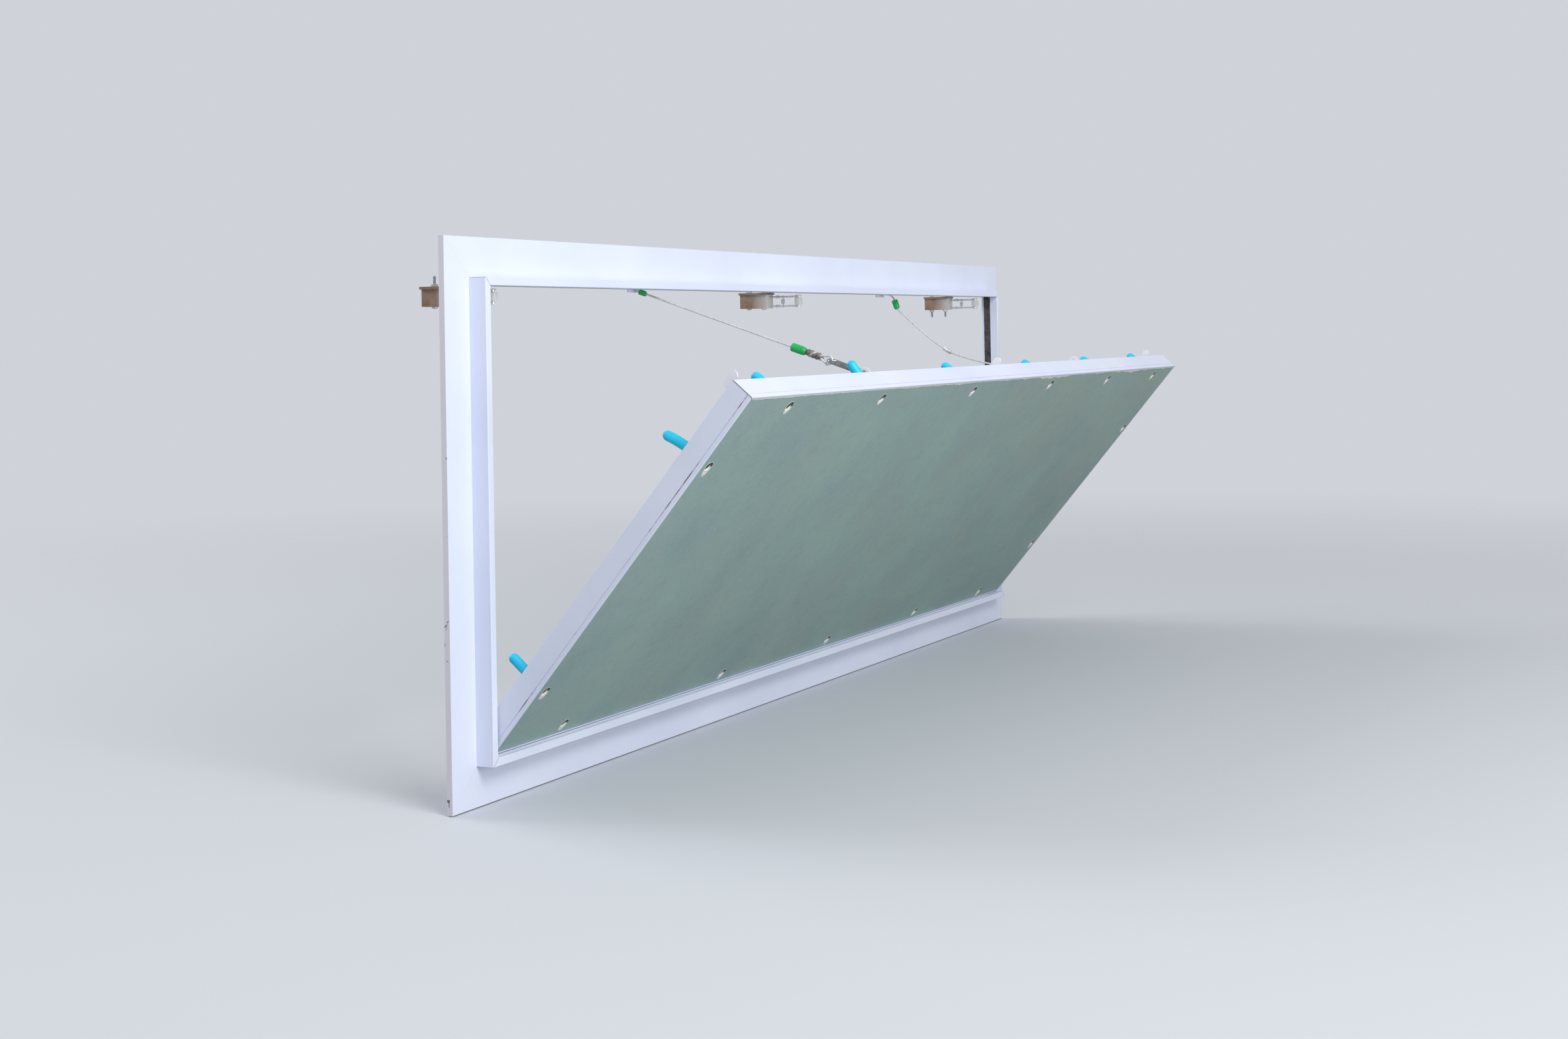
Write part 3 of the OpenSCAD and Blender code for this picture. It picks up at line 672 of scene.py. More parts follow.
@dataclass(frozen=True)
class BoardPaper(Finish):
    """Green paper on gypsum board: soft patches, pressed fibres and scattered small dents.

    coats are wide dust, pale fibres and darker mottling. The fibres have the share fibre_share of the
    relief that the dents have, which lie where a coarse noise is low.
    """

    coats: tuple[tuple[str, Patches], ...] = (
        ("A5B1A6", Patches(190.0, detail=2.0, rough=0.5, low=0.45, high=0.65, most=0.45)),
        ("ADC4BE", Patches(3.0, detail=6.0, rough=0.75, low=0.48, high=0.75, most=0.5)),
        ("819A95", Patches(11.0, detail=5.0, rough=0.65, low=0.5, high=0.75, most=0.3)))
    dents: Patches = Patches(6.0, detail=2.0, rough=0.5, low=0.22, high=0.34, ease=Ease.SOFT)
    fibre_share: float = 0.35

    def layers(self, tree: Tree, place: Source) -> list[tuple[str, Source]]:
        """Dust, fibres and mottling, each by its own patches."""
        return [(tone, patches.lay(tree, place)) for tone, patches in self.coats]

    def relief(self, tree: Tree, place: Source, grain: Source) -> Source:
        """The fibres' height and the dents together."""
        return add(tree, "Math", {"operation": "MULTIPLY_ADD", 1: self.fibre_share},
                   {0: grain, 2: self.dents.lay(tree, place)})


@dataclass(frozen=True)
class FrontLitShell(Finish):
    """A moulded shell with a painted highlight: pale at its front by a given share, keeping its own tone at
    its back.
    """

    # Painted highlight: the pale colour at the shell's front, and how much of it shows there.
    front_highlight: str = "E8E1DC"
    highlight_share: float = 0.9
    front: float = 46.0 * MM
    back: float = 66.0 * MM

    def layers(self, tree: Tree, place: Source) -> list[tuple[str, Source]]:
        """The painted highlight's colour, falling evenly from the shell's front to its back.

        Args:
            tree: the material's nodes.
            place: the coordinates.

        Returns:
            The colour with how much of it shows.
        """
        axes = add(tree, "SeparateXYZ", {}, {0: place})
        share = add(tree, "MapRange", {"From Min": self.front, "From Max": self.back, "To Min": self.highlight_share,
                                       "To Max": 0.0}, {"Value": axes.outputs["Y"]})
        return [(self.front_highlight, share)]


@dataclass(frozen=True)
class CellFoam(Finish):
    """Closed-cell foam: round cells cut open at the surface."""

    def grain(self, tree: Tree, place: Source) -> Source:
        """Distance from the middle of the nearest cell."""
        return add(tree, "TexVoronoi", {"Scale": per_mm(self.grain_mm)}, {"Vector": place})


@dataclass(frozen=True)
class TaggedFinish(Finish):
    """A finish that turns to a second colour where the piece's own tag says so: rust on the spliced wire, and
    painted shade on the upper walls of the screw holes.
    """

    over: str = "5A4335"

    def layers(self, tree: Tree, place: Source) -> list[tuple[str, Source]]:
        """The second colour by the tag, broken up by the grain.

        Args:
            tree: the material's nodes.
            place: the coordinates of the grain.

        Returns:
            The colour with how much of it shows.
        """
        tag = add(tree, "Attribute", {"attribute_name": "tag"}, {})
        grain = add(tree, "MapRange", {"From Min": 0.3, "From Max": 0.7, "To Min": 0.55, "To Max": 1.1},
                    {"Value": self.grain(tree, place)})
        amount = add(tree, "Math", {"operation": "MULTIPLY", "use_clamp": True},
                     {0: tag.outputs["Fac"], 1: grain})
        return [(self.over, amount)]


# Powder-coated aluminium, sprayed and baked: a cool white with a soft sheen and a faint orange peel.
FRAME_COAT = FrameCoat("powder_coated_aluminium_frame", "E1E7F9", "D8DFF3", 160, 2.4, 0.02, 0.40, 0.06,
                       dust="B2B2C2")
# The door's coat has painted shade in the groove behind its front edge.
DOOR_COAT = DoorCoat("powder_coated_aluminium_door", "E0E6F8", "D6DDF1", 140, 2.4, 0.02, 0.42, 0.06,
                     leaf=Leaf.DOOR, flush=1.0, seam_mm=0.7)
# Painted sheet steel, dipped: the same white, a little thicker and softer at the edges.
BRACKET_PAINT = Finish("painted_sheet_steel", "F2F3FA", "E4E6F0", 12, 1.2, 0.03, 0.38, 0.08)
# Paper-faced gypsum board, pressed: matt grey-green, patchy, with fibres.
PAPER = BoardPaper("gypsum_board_paper", "9CB7B0", "92A9A9", 110, 0.8, 0.10, 0.86, 0.06)
# Soft PVC, dipped: bright blue with a moulded sheen.
CAP_PVC = Finish("dipped_soft_pvc_blue", "1AD3F6", "14BBE2", 14, 0.8, 0.015, 0.42, 0.08)
# Soft PVC tube, cut and pushed on: clear green.
SLEEVE_PVC = Finish("soft_pvc_sleeve_green", "16B85E", "10A050", 8, 0.7, 0.02, 0.42, 0.08)
# Acetal, turned and left raw: milky white.
ROLLER_ACETAL = Finish("turned_acetal_white", "F6F4F1", "EAE7E2", 5, 0.5, 0.01, 0.36, 0.06)
# Brown moulded nylon shell: dull, with dusty patches and a painted highlight at its front.
LATCH_NYLON = FrontLitShell("moulded_nylon_brown", "A58C79", "8A6C58", 10, 0.9, 0.05, 0.48, 0.1)
# Passivated steel plate, dipped: brown-grey with a weak shine.
LATCH_STEEL = Finish("passivated_steel_brown", "9A8673", "7D6B5B", 8, 0.8, 0.02, 0.42, 0.1, metallic=0.6)
# Zinc-plated steel, barrel plated: grey, with cloudy brightness.
ZINC = Finish("zinc_plated_steel", "C6C8CC", "A2A4A9", 5, 0.6, 0.01, 0.34, 0.1, metallic=1.0)
# Spring wire, drawn and bright plated: nearly white where it catches the light.
BRIGHT_WIRE = Finish("bright_plated_spring_wire", "ECECEF", "CFCFD3", 4, 0.5, 0.01, 0.32, 0.1, metallic=0.5)
# Steel bar, bent and tumbled: darker grey, with bright worn spots.
HOOK_STEEL = Finish("tumbled_steel_hook", "A6A6A7", "66676A", 4, 0.5, 0.01, 0.26, 0.1, metallic=1.0)
# Black phosphated steel: nearly black and dull.
PHOSPHATE = Finish("phosphated_steel_black", "32302F", "242322", 2, 0.4, 0.02, 0.5, 0.1, metallic=0.6)
# Galvanised wire rope, laid: bright strands with grey grease between them.
ROPE_WIRE = Finish("galvanised_wire_rope", "EAEAEC", "C9C8C8", 3, 0.5, 0.01, 0.36, 0.1, metallic=0.3)
# The same wire where it is spliced and has rusted.
RUSTY_WIRE = TaggedFinish("rusty_wire_splice", "EAEAEC", "C9C8C8", 3, 0.6, 0.02, 0.42, 0.12, metallic=0.3,
                          over="423229")
# Aluminium, cast and crimped: pale and dull.
CRIMP_ALLOY = Finish("crimped_aluminium", "E6E2E4", "CBC7CA", 3, 0.7, 0.03, 0.46, 0.1, metallic=0.5)
# Closed-cell EPDM foam strip, skived: dusty charcoal, dry, with torn cells.
SEAL_FOAM = CellFoam("epdm_foam_strip", "575053", "342F32", 5, 1.4, 0.25, 0.92, 0.05)
# Gypsum core, broken: chalk white, with painted shade, black, on the upper wall of each screw hole.
GYPSUM = TaggedFinish("broken_gypsum", "F4F3EC", "E4E3DB", 2.5, 0.6, 0.12, 0.9, 0.05, over="1F1E1D")

# The finish of each CAD node, by the first start of a name that fits.
NODE_FINISHES: tuple[tuple[str, Finish], ...] = (
    ("frame_corner_keys", ZINC), ("frame_", FRAME_COAT), ("seal_", SEAL_FOAM), ("hinge_", ZINC),
    ("latch_plate_", LATCH_STEEL), ("latch_body_", LATCH_NYLON), ("latch_roller_", ROLLER_ACETAL),
    ("latch_fork_", BRIGHT_WIRE), ("latch_", ZINC),
    ("roller_pin_", ROLLER_ACETAL), ("cable_anchor_", BRACKET_PAINT), ("cable_bracket_", BRACKET_PAINT),
    ("striker_", BRACKET_PAINT), ("cable_sleeve_", SLEEVE_PVC), ("cable_ferrule_", CRIMP_ALLOY),
    ("cable_stops", CRIMP_ALLOY), ("cable_", ROPE_WIRE), ("carabiner", HOOK_STEEL),
    ("door_corner_keys", ZINC), ("door_board", PAPER), ("door_", DOOR_COAT), ("board_screws", PHOSPHATE),
    ("screw_caps", CAP_PVC), ("bracket_rivets", ZINC))


def dress_nodes(nodes: dict[str, Object]) -> None:
    """Gives every CAD node its finish.

    Args:
        nodes: the CAD nodes by name.
    """
    for name, obj in nodes.items():
        finish = next(f for start, f in NODE_FINISHES if name.startswith(start))
        obj.data.materials.clear()
        obj.data.materials.append(finish.material())
        LOG.info("node %s: %s", name, finish.name)


# Sub-assemblies


@dataclass(frozen=True)
class Viewpoint:
    """The photograph's camera: place, turn, focal length in pixels and middle of the picture."""

    place_mm: tuple[float, float, float] = (-2079.188, -1045.498, 155.492)
    yaw: float = math.radians(-63.17157)
    pitch: float = math.radians(0.54435)
    roll: float = math.radians(1.01510)
    focal_px: float = 3141.558
    middle_px: tuple[float, float] = (1183.5, 475.0)
    image_px: tuple[int, int] = (2367, 1568)
    sensor_mm: float = 36.0
    sight: float = 100.0

    def build(self) -> Object:
        """Makes the camera and sets it as the scene's.

        Returns:
            The camera object.
        """
        wide, high = self.image_px
        data = bpy.data.cameras.new("camera")
        data.sensor_fit = "HORIZONTAL"
        data.sensor_width = self.sensor_mm
        data.lens = self.focal_px / wide * self.sensor_mm
        data.shift_x = (wide / 2 - self.middle_px[0]) / wide
        data.shift_y = (self.middle_px[1] - high / 2) / wide
        data.clip_end = self.sight
        camera = bpy.data.objects.new("camera", data)
        level = Matrix.Rotation(math.radians(90.0), 3, "X")
        turn = Matrix.Rotation(self.yaw, 3, "Z") @ Matrix.Rotation(self.pitch, 3, "X")
        turn = turn @ Matrix.Rotation(self.roll, 3, "Y")
        camera.matrix_world = Matrix.Translation([c * MM for c in self.place_mm]) @ (turn @ level).to_4x4()
        bpy.context.scene.collection.objects.link(camera)
        bpy.context.scene.camera = camera
        return camera


@dataclass(frozen=True)
class Studio:
    """Plain pale floor and soft lamps.

    Each lamp has a name, a place, a size across and a power. The floor fades out between the two shares
    of its radius in fade. ambient_tint is a linear colour.
    """

    floor_z: float = -0.2452
    floor_radius: float = 7.0
    floor_sides: int = 96
    floor_rough: float = 0.8
    fade: tuple[float, float] = (0.08, 0.45)
    pale: str = "CFD3D9"
    bounce: str = "8A8E94"
    ambient: float = 0.46
    ambient_tint: tuple[float, float, float, float] = (0.97, 0.98, 1.0, 1.0)
    lamps: tuple[tuple[str, tuple[float, float, float], float, float], ...] = (
        ("key", (-1.9, -2.6, 2.4), 1.8, 74.0),
        ("fill", (-1.3, -2.9, 0.1), 2.2, 43.0),
        ("rear", (-0.6, 3.2, 2.4), 2.6, 60.0))
    aim: tuple[float, float, float] = (-0.2, -0.05, 0.0)

    def build(self) -> None:
        """Makes the floor, the lamps and the world."""
        scene = bpy.context.scene
        scene.view_settings.view_transform = "Standard"
        self.floor()
        for name, place, size, power in self.lamps:
            data = bpy.data.lights.new(name, "AREA")
            data.shape = "DISK"
            data.size = size
            data.energy = power
            lamp = bpy.data.objects.new(name, data)
            turn = (Vector(place) - Vector(self.aim)).to_track_quat("Z", "Y")
            lamp.matrix_world = Matrix.Translation(place) @ turn.to_matrix().to_4x4()
            scene.collection.objects.link(lamp)
        self.world(scene)

    def floor(self) -> Object:
        """A round floor that fades out towards its rim.

        Returns:
            The floor.
        """
        angle = around(self.floor_sides)
        rim = np.stack((np.cos(angle), np.sin(angle), 0.0 * angle), axis=1) * self.floor_radius
        mesh = bpy.data.meshes.new("floor")
        mesh.from_pydata((rim + Z_AXIS * self.floor_z).tolist(), [], [list(range(self.floor_sides))])
        floor = bpy.data.objects.new("floor", mesh)
        bpy.context.scene.collection.objects.link(floor)
        material = bpy.data.materials.new("painted_studio_floor")
        material.use_nodes = True
        tree = material.node_tree
        tree.nodes.clear()
        place = add(tree, "TexCoord", {}, {}).outputs["Object"]
        far = add(tree, "VectorMath", {"operation": "LENGTH"}, {0: place})
        near_share, far_share = self.fade
        fade = add(tree, "MapRange", {"interpolation_type": Ease.SOFT.value,
                                      "From Min": near_share * self.floor_radius,
                                      "From Max": far_share * self.floor_radius}, {"Value": far})
        tone = add(tree, "Mix", {"data_type": "RGBA", COLOUR_A: linear(self.bounce),
                                 COLOUR_B: linear(self.pale)}, {"Factor": self.shown(tree)})
        paint = add(tree, "BsdfPrincipled", {"Roughness": self.floor_rough}, {"Base Color": tone})
        clear = add(tree, "BsdfTransparent", {}, {})
        mix = add(tree, "MixShader", {}, {0: fade, 1: paint, 2: clear})
        add(tree, "OutputMaterial", {}, {"Surface": mix})
        mesh.materials.append(material)
        return floor

    def shown(self, tree: Tree) -> Source:
        """Tells what the camera, reflections and clear things see from light on the object.

        Args:
            tree: the nodes of the floor or the world.

        Returns:
            The node that gives 1 for what is seen and 0 for light.
        """
        ray = add(tree, "LightPath", {}, {})
        seen = add(tree, "Math", {"operation": "MAXIMUM"},
                   {0: ray.outputs["Is Camera Ray"], 1: ray.outputs["Is Glossy Ray"]})
        return add(tree, "Math", {"operation": "MAXIMUM"}, {0: seen, 1: ray.outputs["Is Transmission Ray"]})

    def world(self, scene: bpy.types.Scene) -> None:
        """Soft light from all round, with the pale backdrop for what the camera and reflections see.

        Args:
            scene: the scene that gets the world.
        """
        world = bpy.data.worlds.new("studio")
        scene.world = world
        world.use_nodes = True
        tree = world.node_tree
        tree.nodes.clear()
        light = add(tree, "Background", {"Color": self.ambient_tint, "Strength": self.ambient}, {})
        back = add(tree, "Background", {"Color": linear(self.pale), "Strength": 1.0}, {})
        mix = add(tree, "MixShader", {}, {0: self.shown(tree), 1: light, 2: back})
        add(tree, "OutputWorld", {}, {"Surface": mix})


@dataclass(frozen=True)
class SafetyCable:
    """One safety cable with the tubes on it, and its route in its plane.

    The route repeats the CAD route in millimetres, from the frame's lug to the door's end. fold_end, a pair
    of y and z, is not used.
    """

    name: str
    x: float
    route: tuple[tuple[float, float], ...]
    fold_end: tuple[float, float]
    lay: str
    node: str
    size: float = 2.0 * MM
    strand_lay: float = 13.0 * MM
    ring_gap: float = 0.6 * MM
    sides: int = 24
    fine_points: int = 400
    cord_points: int = 40

    def path(self, count: int) -> np.ndarray:
        """The cable's middle line at that many points."""
        return smooth_route(in_plane(self.x, self.route), count)

    def fold(self, obj: Object) -> None:
        """Bakes a piece's placement into its mesh."""
        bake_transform(obj)

    def rope(self) -> Object:
        """The laid rope along the route.

        Returns:
            The rope.
        """
        length = run_of(self.path(self.fine_points))[-1]
        path = self.path(int(length / self.ring_gap))
        radius = rope_radius(run_of(path), self.sides, self.size, self.strand_lay)
        skin = Skin.closed(swept(path, radius, self.sides, X_AXIS))
        rope = piece(self.name, [skin], ROPE_WIRE, self.node)
        self.fold(rope)
        return rope

    def tube(self, name: str, ends: tuple[tuple[float, float], tuple[float, float]], profile: np.ndarray,
             finish: Finish, slot: Slot, node: str, dents: np.ndarray | float = 1.0) -> Object:
        """A turned tube on the cable, whose profile is given as shares of its length and radii in metres.

        Args:
            name: the piece's name.
            ends: its two ends as pairs of y and z in millimetres.
            profile: pairs of share along and radius.
            finish: its finish.
            slot: not used.
            node: the CAD node that it stands for.
            dents: factors on its radius, where it isn't round.

        Returns:
            The tube.
        """
        skin = Skin.tube(in_plane(self.x, ends), profile, dents)
        tube = piece(name, [skin], finish, node)
        self.fold(tube)
        return tube


LEFT_CABLE = SafetyCable(
    "safety_cable_left", -300.0, ((22.5, 203.05), (-73.0, 170.8), (-153.7, 143.6)), (-73.0, 170.8), "taut",
    "cable_left")
RIGHT_CABLE = SafetyCable(
    "safety_cable_right", 300.0,
    ((22.8, 202.8), (19.5, 203.1), (14.0, 203.2), (8.8, 202.0), (5.0, 199.2), (3.1, 195.7), (1.15, 190.3),
     (-0.8, 184.9), (-4.6, 181.0), (-9.6, 176.9), (-20.7, 166.9), (-32.0, 157.5), (-43.3, 148.2),
     (-54.5, 140.0), (-62.0, 135.4), (-72.0, 129.6), (-90.0, 123.5), (-113.0, 117.5), (-140.0, 112.3),
     (-165.0, 110.0), (-190.0, 111.2), (-209.6, 114.4)),
    (-90.0, 123.5), "hanging", "cable_right")


def sleeve_profile(radius: float) -> np.ndarray:
    """A cut sleeve: an open mouth with a wall, rounded rims, a straight tube and a drawn-in neck."""
    return np.array((
        (0.06, 0.36), (0.0, 0.40), (0.0, 0.90), (0.01, 0.97), (0.04, 1.0), (0.45, 1.0), (0.80, 0.99),
        (0.86, 0.95), (0.99, 0.72), (1.0, 0.66), (1.0, 0.38))) * np.array((1.0, radius))


def ferrule_profile(radius: float) -> np.ndarray:
    """A crimped ferrule: pinched waists between fuller bands, and rims drawn in.

    The radius is multiplied by 0.86 + 0.14 cos^2(6 pi s), and by 0.55 + 9 times the share from the
    nearer end where that is under 1, s being the share along.

    Args:
        radius: the full radius.

    Returns:
        Pairs of share along and radius.
    """
    share = np.linspace(0.0, 1.0, FERRULE_RINGS)
    pinch = 0.86 + 0.14 * np.cos(6.0 * math.pi * share) ** 2
    rim = np.minimum(1.0, 0.55 + 9.0 * np.minimum(share, 1.0 - share))
    return np.column_stack((share, radius * pinch * rim))


def crumpled() -> np.ndarray:
    """Factors for a squeezed ferrule: 1 + 0.14 cos(2a + 0.8) + 0.08 cos(3a + 5s), s being the share along.

    Returns:
        A factor for each ring and corner.
    """
    share = np.linspace(0.0, 1.0, FERRULE_RINGS)[:, None]
    angle = around(TUBE_SIDES)
    return 1.0 + 0.14 * np.cos(2.0 * angle + 0.8) + 0.08 * np.cos(3.0 * angle + 5.0 * share)


@dataclass(frozen=True)
class CableEnds:
    """The spliced loop and sleeve at the left cable's end, and the end loop of the right cable.

    Sizes are in millimetres, and places along each end are distances from the bracket's eye along the
    cable. Loops are circles that stay open by an angle in degrees on each side of the cable. Over the
    stretch twist_from a strand turns rusty and full, by the share swell, and over sleeve_from it is
    drawn in again.
    """

    eye: tuple[float, float] = (-229.736, 117.897)
    left_way: tuple[float, float] = (0.947463, 0.319866)
    right_way: tuple[float, float] = (0.985253, -0.171105)
    sleeve: tuple[float, float] = (64.5, 80.0)
    sleeve_r: float = 4.2
    splice: tuple[float, float] = (46.5, 66.0)
    neck_from: float = 62.5
    neck_least: float = 0.45
    twist_pitch: float = 12.0
    twist_from: tuple[float, float] = (45.5, 49.5)
    sleeve_from: tuple[float, float] = (61.5, 64.5)
    swell: float = 0.7
    loop_at: float = 39.8
    loop_r: float = 4.0
    loop_open: float = 38.0
    tail: tuple[float, float] = (7.5, 5.2)
    tail_rust: float = 0.55
    ring_at: float = 6.7
    ring_r: float = 5.0
    ring_open: float = 40.0
    ring_legs: tuple[float, float] = (14.2, 11.6)
    ring_leg_out: float = 1.1
    crimp: tuple[float, float] = (12.2, 20.1)
    crimp_r: float = 2.5
    wire: float = 2.0
    wire_lay: float = 10.0
    sides: int = 18
    leg_points: int = 90
    loop_points: int = 64
    strand_points: int = 360
    ring_points: int = 80
    ring_path_points: int = 120

    def laid_out(self, x: float, way: tuple[float, float], places: np.ndarray) -> np.ndarray:
        """Points at distances along a cable's end, square to it in its plane, and along x.

        Args:
            x: the cable's place along the hinge.
            way: the cable's direction at its end, as y and z.
            places: rows of the three distances.

        Returns:
            The points, in metres.
        """
        axes = np.array(((0.0, *way), (0.0, -way[1], way[0]), X_AXIS))
        return (np.array((x, *self.eye)) + places @ axes) * MM

    def middle(self, x: float, way: tuple[float, float], *along: float) -> np.ndarray:
        """Points at those distances along a cable's end."""
        return self.laid_out(x, way, np.array(along)[:, None] * X_AXIS)

    def left_loop(self) -> Object:
        """The wire's loop round the carabiner, with its legs and loose tail twisted up to the sleeve.

        Three strands lie a third of a turn apart round the middle line, at the angle 2 pi d / pitch for
        the distance d from the loop. Two of them run into the loop, a circle, and the third stands off
        below as a short tail. The wire is fuller where it is unlaid in the twist.

        Returns:
            The loop, which rides on the door.
        """
        low, high = self.splice
        leg = np.linspace(high, low, self.leg_points)
        reach = self.wire * np.clip((high - leg) / (high - self.neck_from), self.neck_least, 1.0)
        turn = math.tau * (leg - low) / self.twist_pitch + math.pi / 2
        one, two, three = (np.column_stack((leg, reach * np.sin(a), reach * np.cos(a)))
                           for a in (turn, turn - math.tau / 3, turn + math.tau / 3))
        bend = np.radians(np.linspace(self.loop_open, 360.0 - self.loop_open, self.loop_points))
        circle = np.column_stack((self.loop_at + self.loop_r * np.cos(bend), self.loop_r * np.sin(bend),
                                  0.0 * bend))
        tip = np.array((low - self.tail[0], -self.tail[1], 0.0))
        skins = [self.strand(np.vstack((one, circle, two[::-1])), 1.0),
                 self.strand(np.vstack((three, tip)), self.tail_rust)]
        return piece("cable_splice_loop", skins, RUSTY_WIRE, "cable_splice_left", "door")

    def strand(self, places: np.ndarray, rust: float) -> Skin:
        """One strand of the splice, fuller and rusty in the twist and bright where it runs free.

        Args:
            places: distances along the cable, square to it in its plane, and along x.
            rust: how rusty the strand is in the twist, from 0 to 1.

        Returns:
            The strand's skin, its tag telling how rusty it is.
        """
        path = resampled(self.laid_out(LEFT_CABLE.x, self.left_way, places), self.strand_points)
        eye = self.middle(LEFT_CABLE.x, self.left_way, 0.0)
        depth = (path - eye) @ np.array((0.0, *self.left_way)) / MM
        twisted = np.interp(depth, self.twist_from, (0.0, 1.0))
        free = np.interp(depth, self.sleeve_from, (1.0, 0.0))
        radius = rope_radius(run_of(path), self.sides, self.wire * MM, self.wire_lay * MM)
        radius = radius * (1.0 + self.swell * twisted * free)[:, None]
        hint = unit(np.array((0.35, -self.left_way[1], self.left_way[0])))
        return Skin.closed(swept(path, radius, self.sides, hint), rust * twisted)

    def left_sleeve(self) -> Object:
        """The green sleeve over the splice's end, its neck towards the loop.

        Returns:
            The sleeve, which rides on the door.
        """
        neck, mouth = self.sleeve
        ends = self.middle(LEFT_CABLE.x, self.left_way, mouth, neck)
        skin = Skin.tube(ends, sleeve_profile(self.sleeve_r * MM))
        return piece("cable_end_sleeve", [skin], SLEEVE_PVC, "cable_sleeve_left", "door")

    def right_loop(self) -> tuple[Object, Object]:
        """The slack cable's end loop through the bracket's eye, a circle with two legs, and its crimp.

        Returns:
            The loop and the crimp, which ride on the door.
        """
        x, way = RIGHT_CABLE.x, self.right_way
        bend = np.radians(np.linspace(self.ring_open, 360.0 - self.ring_open, self.ring_points))
        circle = np.column_stack((self.ring_at + self.ring_r * np.cos(bend), 0.0 * bend,
                                  self.ring_r * np.sin(bend)))
        leg = np.array([(along, 0.0, self.ring_leg_out) for along in self.ring_legs])
        back = leg[::-1] * (1.0, 1.0, -1.0)
        path = resampled(self.laid_out(x, way, np.vstack((leg, circle, back))), self.ring_path_points)
        radius = rope_radius(run_of(path), self.sides, self.wire * MM, self.wire_lay * MM)
        skin = Skin.closed(swept(path, radius, self.sides, np.array((0.0, -way[1], way[0]))))
        loop = piece("cable_end_loop", [skin], ROPE_WIRE, "cable_loop_right", "door")
        skin = Skin.tube(self.middle(x, way, *self.crimp), ferrule_profile(self.crimp_r * MM), crumpled())
        return loop, piece("cable_end_crimp", [skin], CRIMP_ALLOY, body="door")


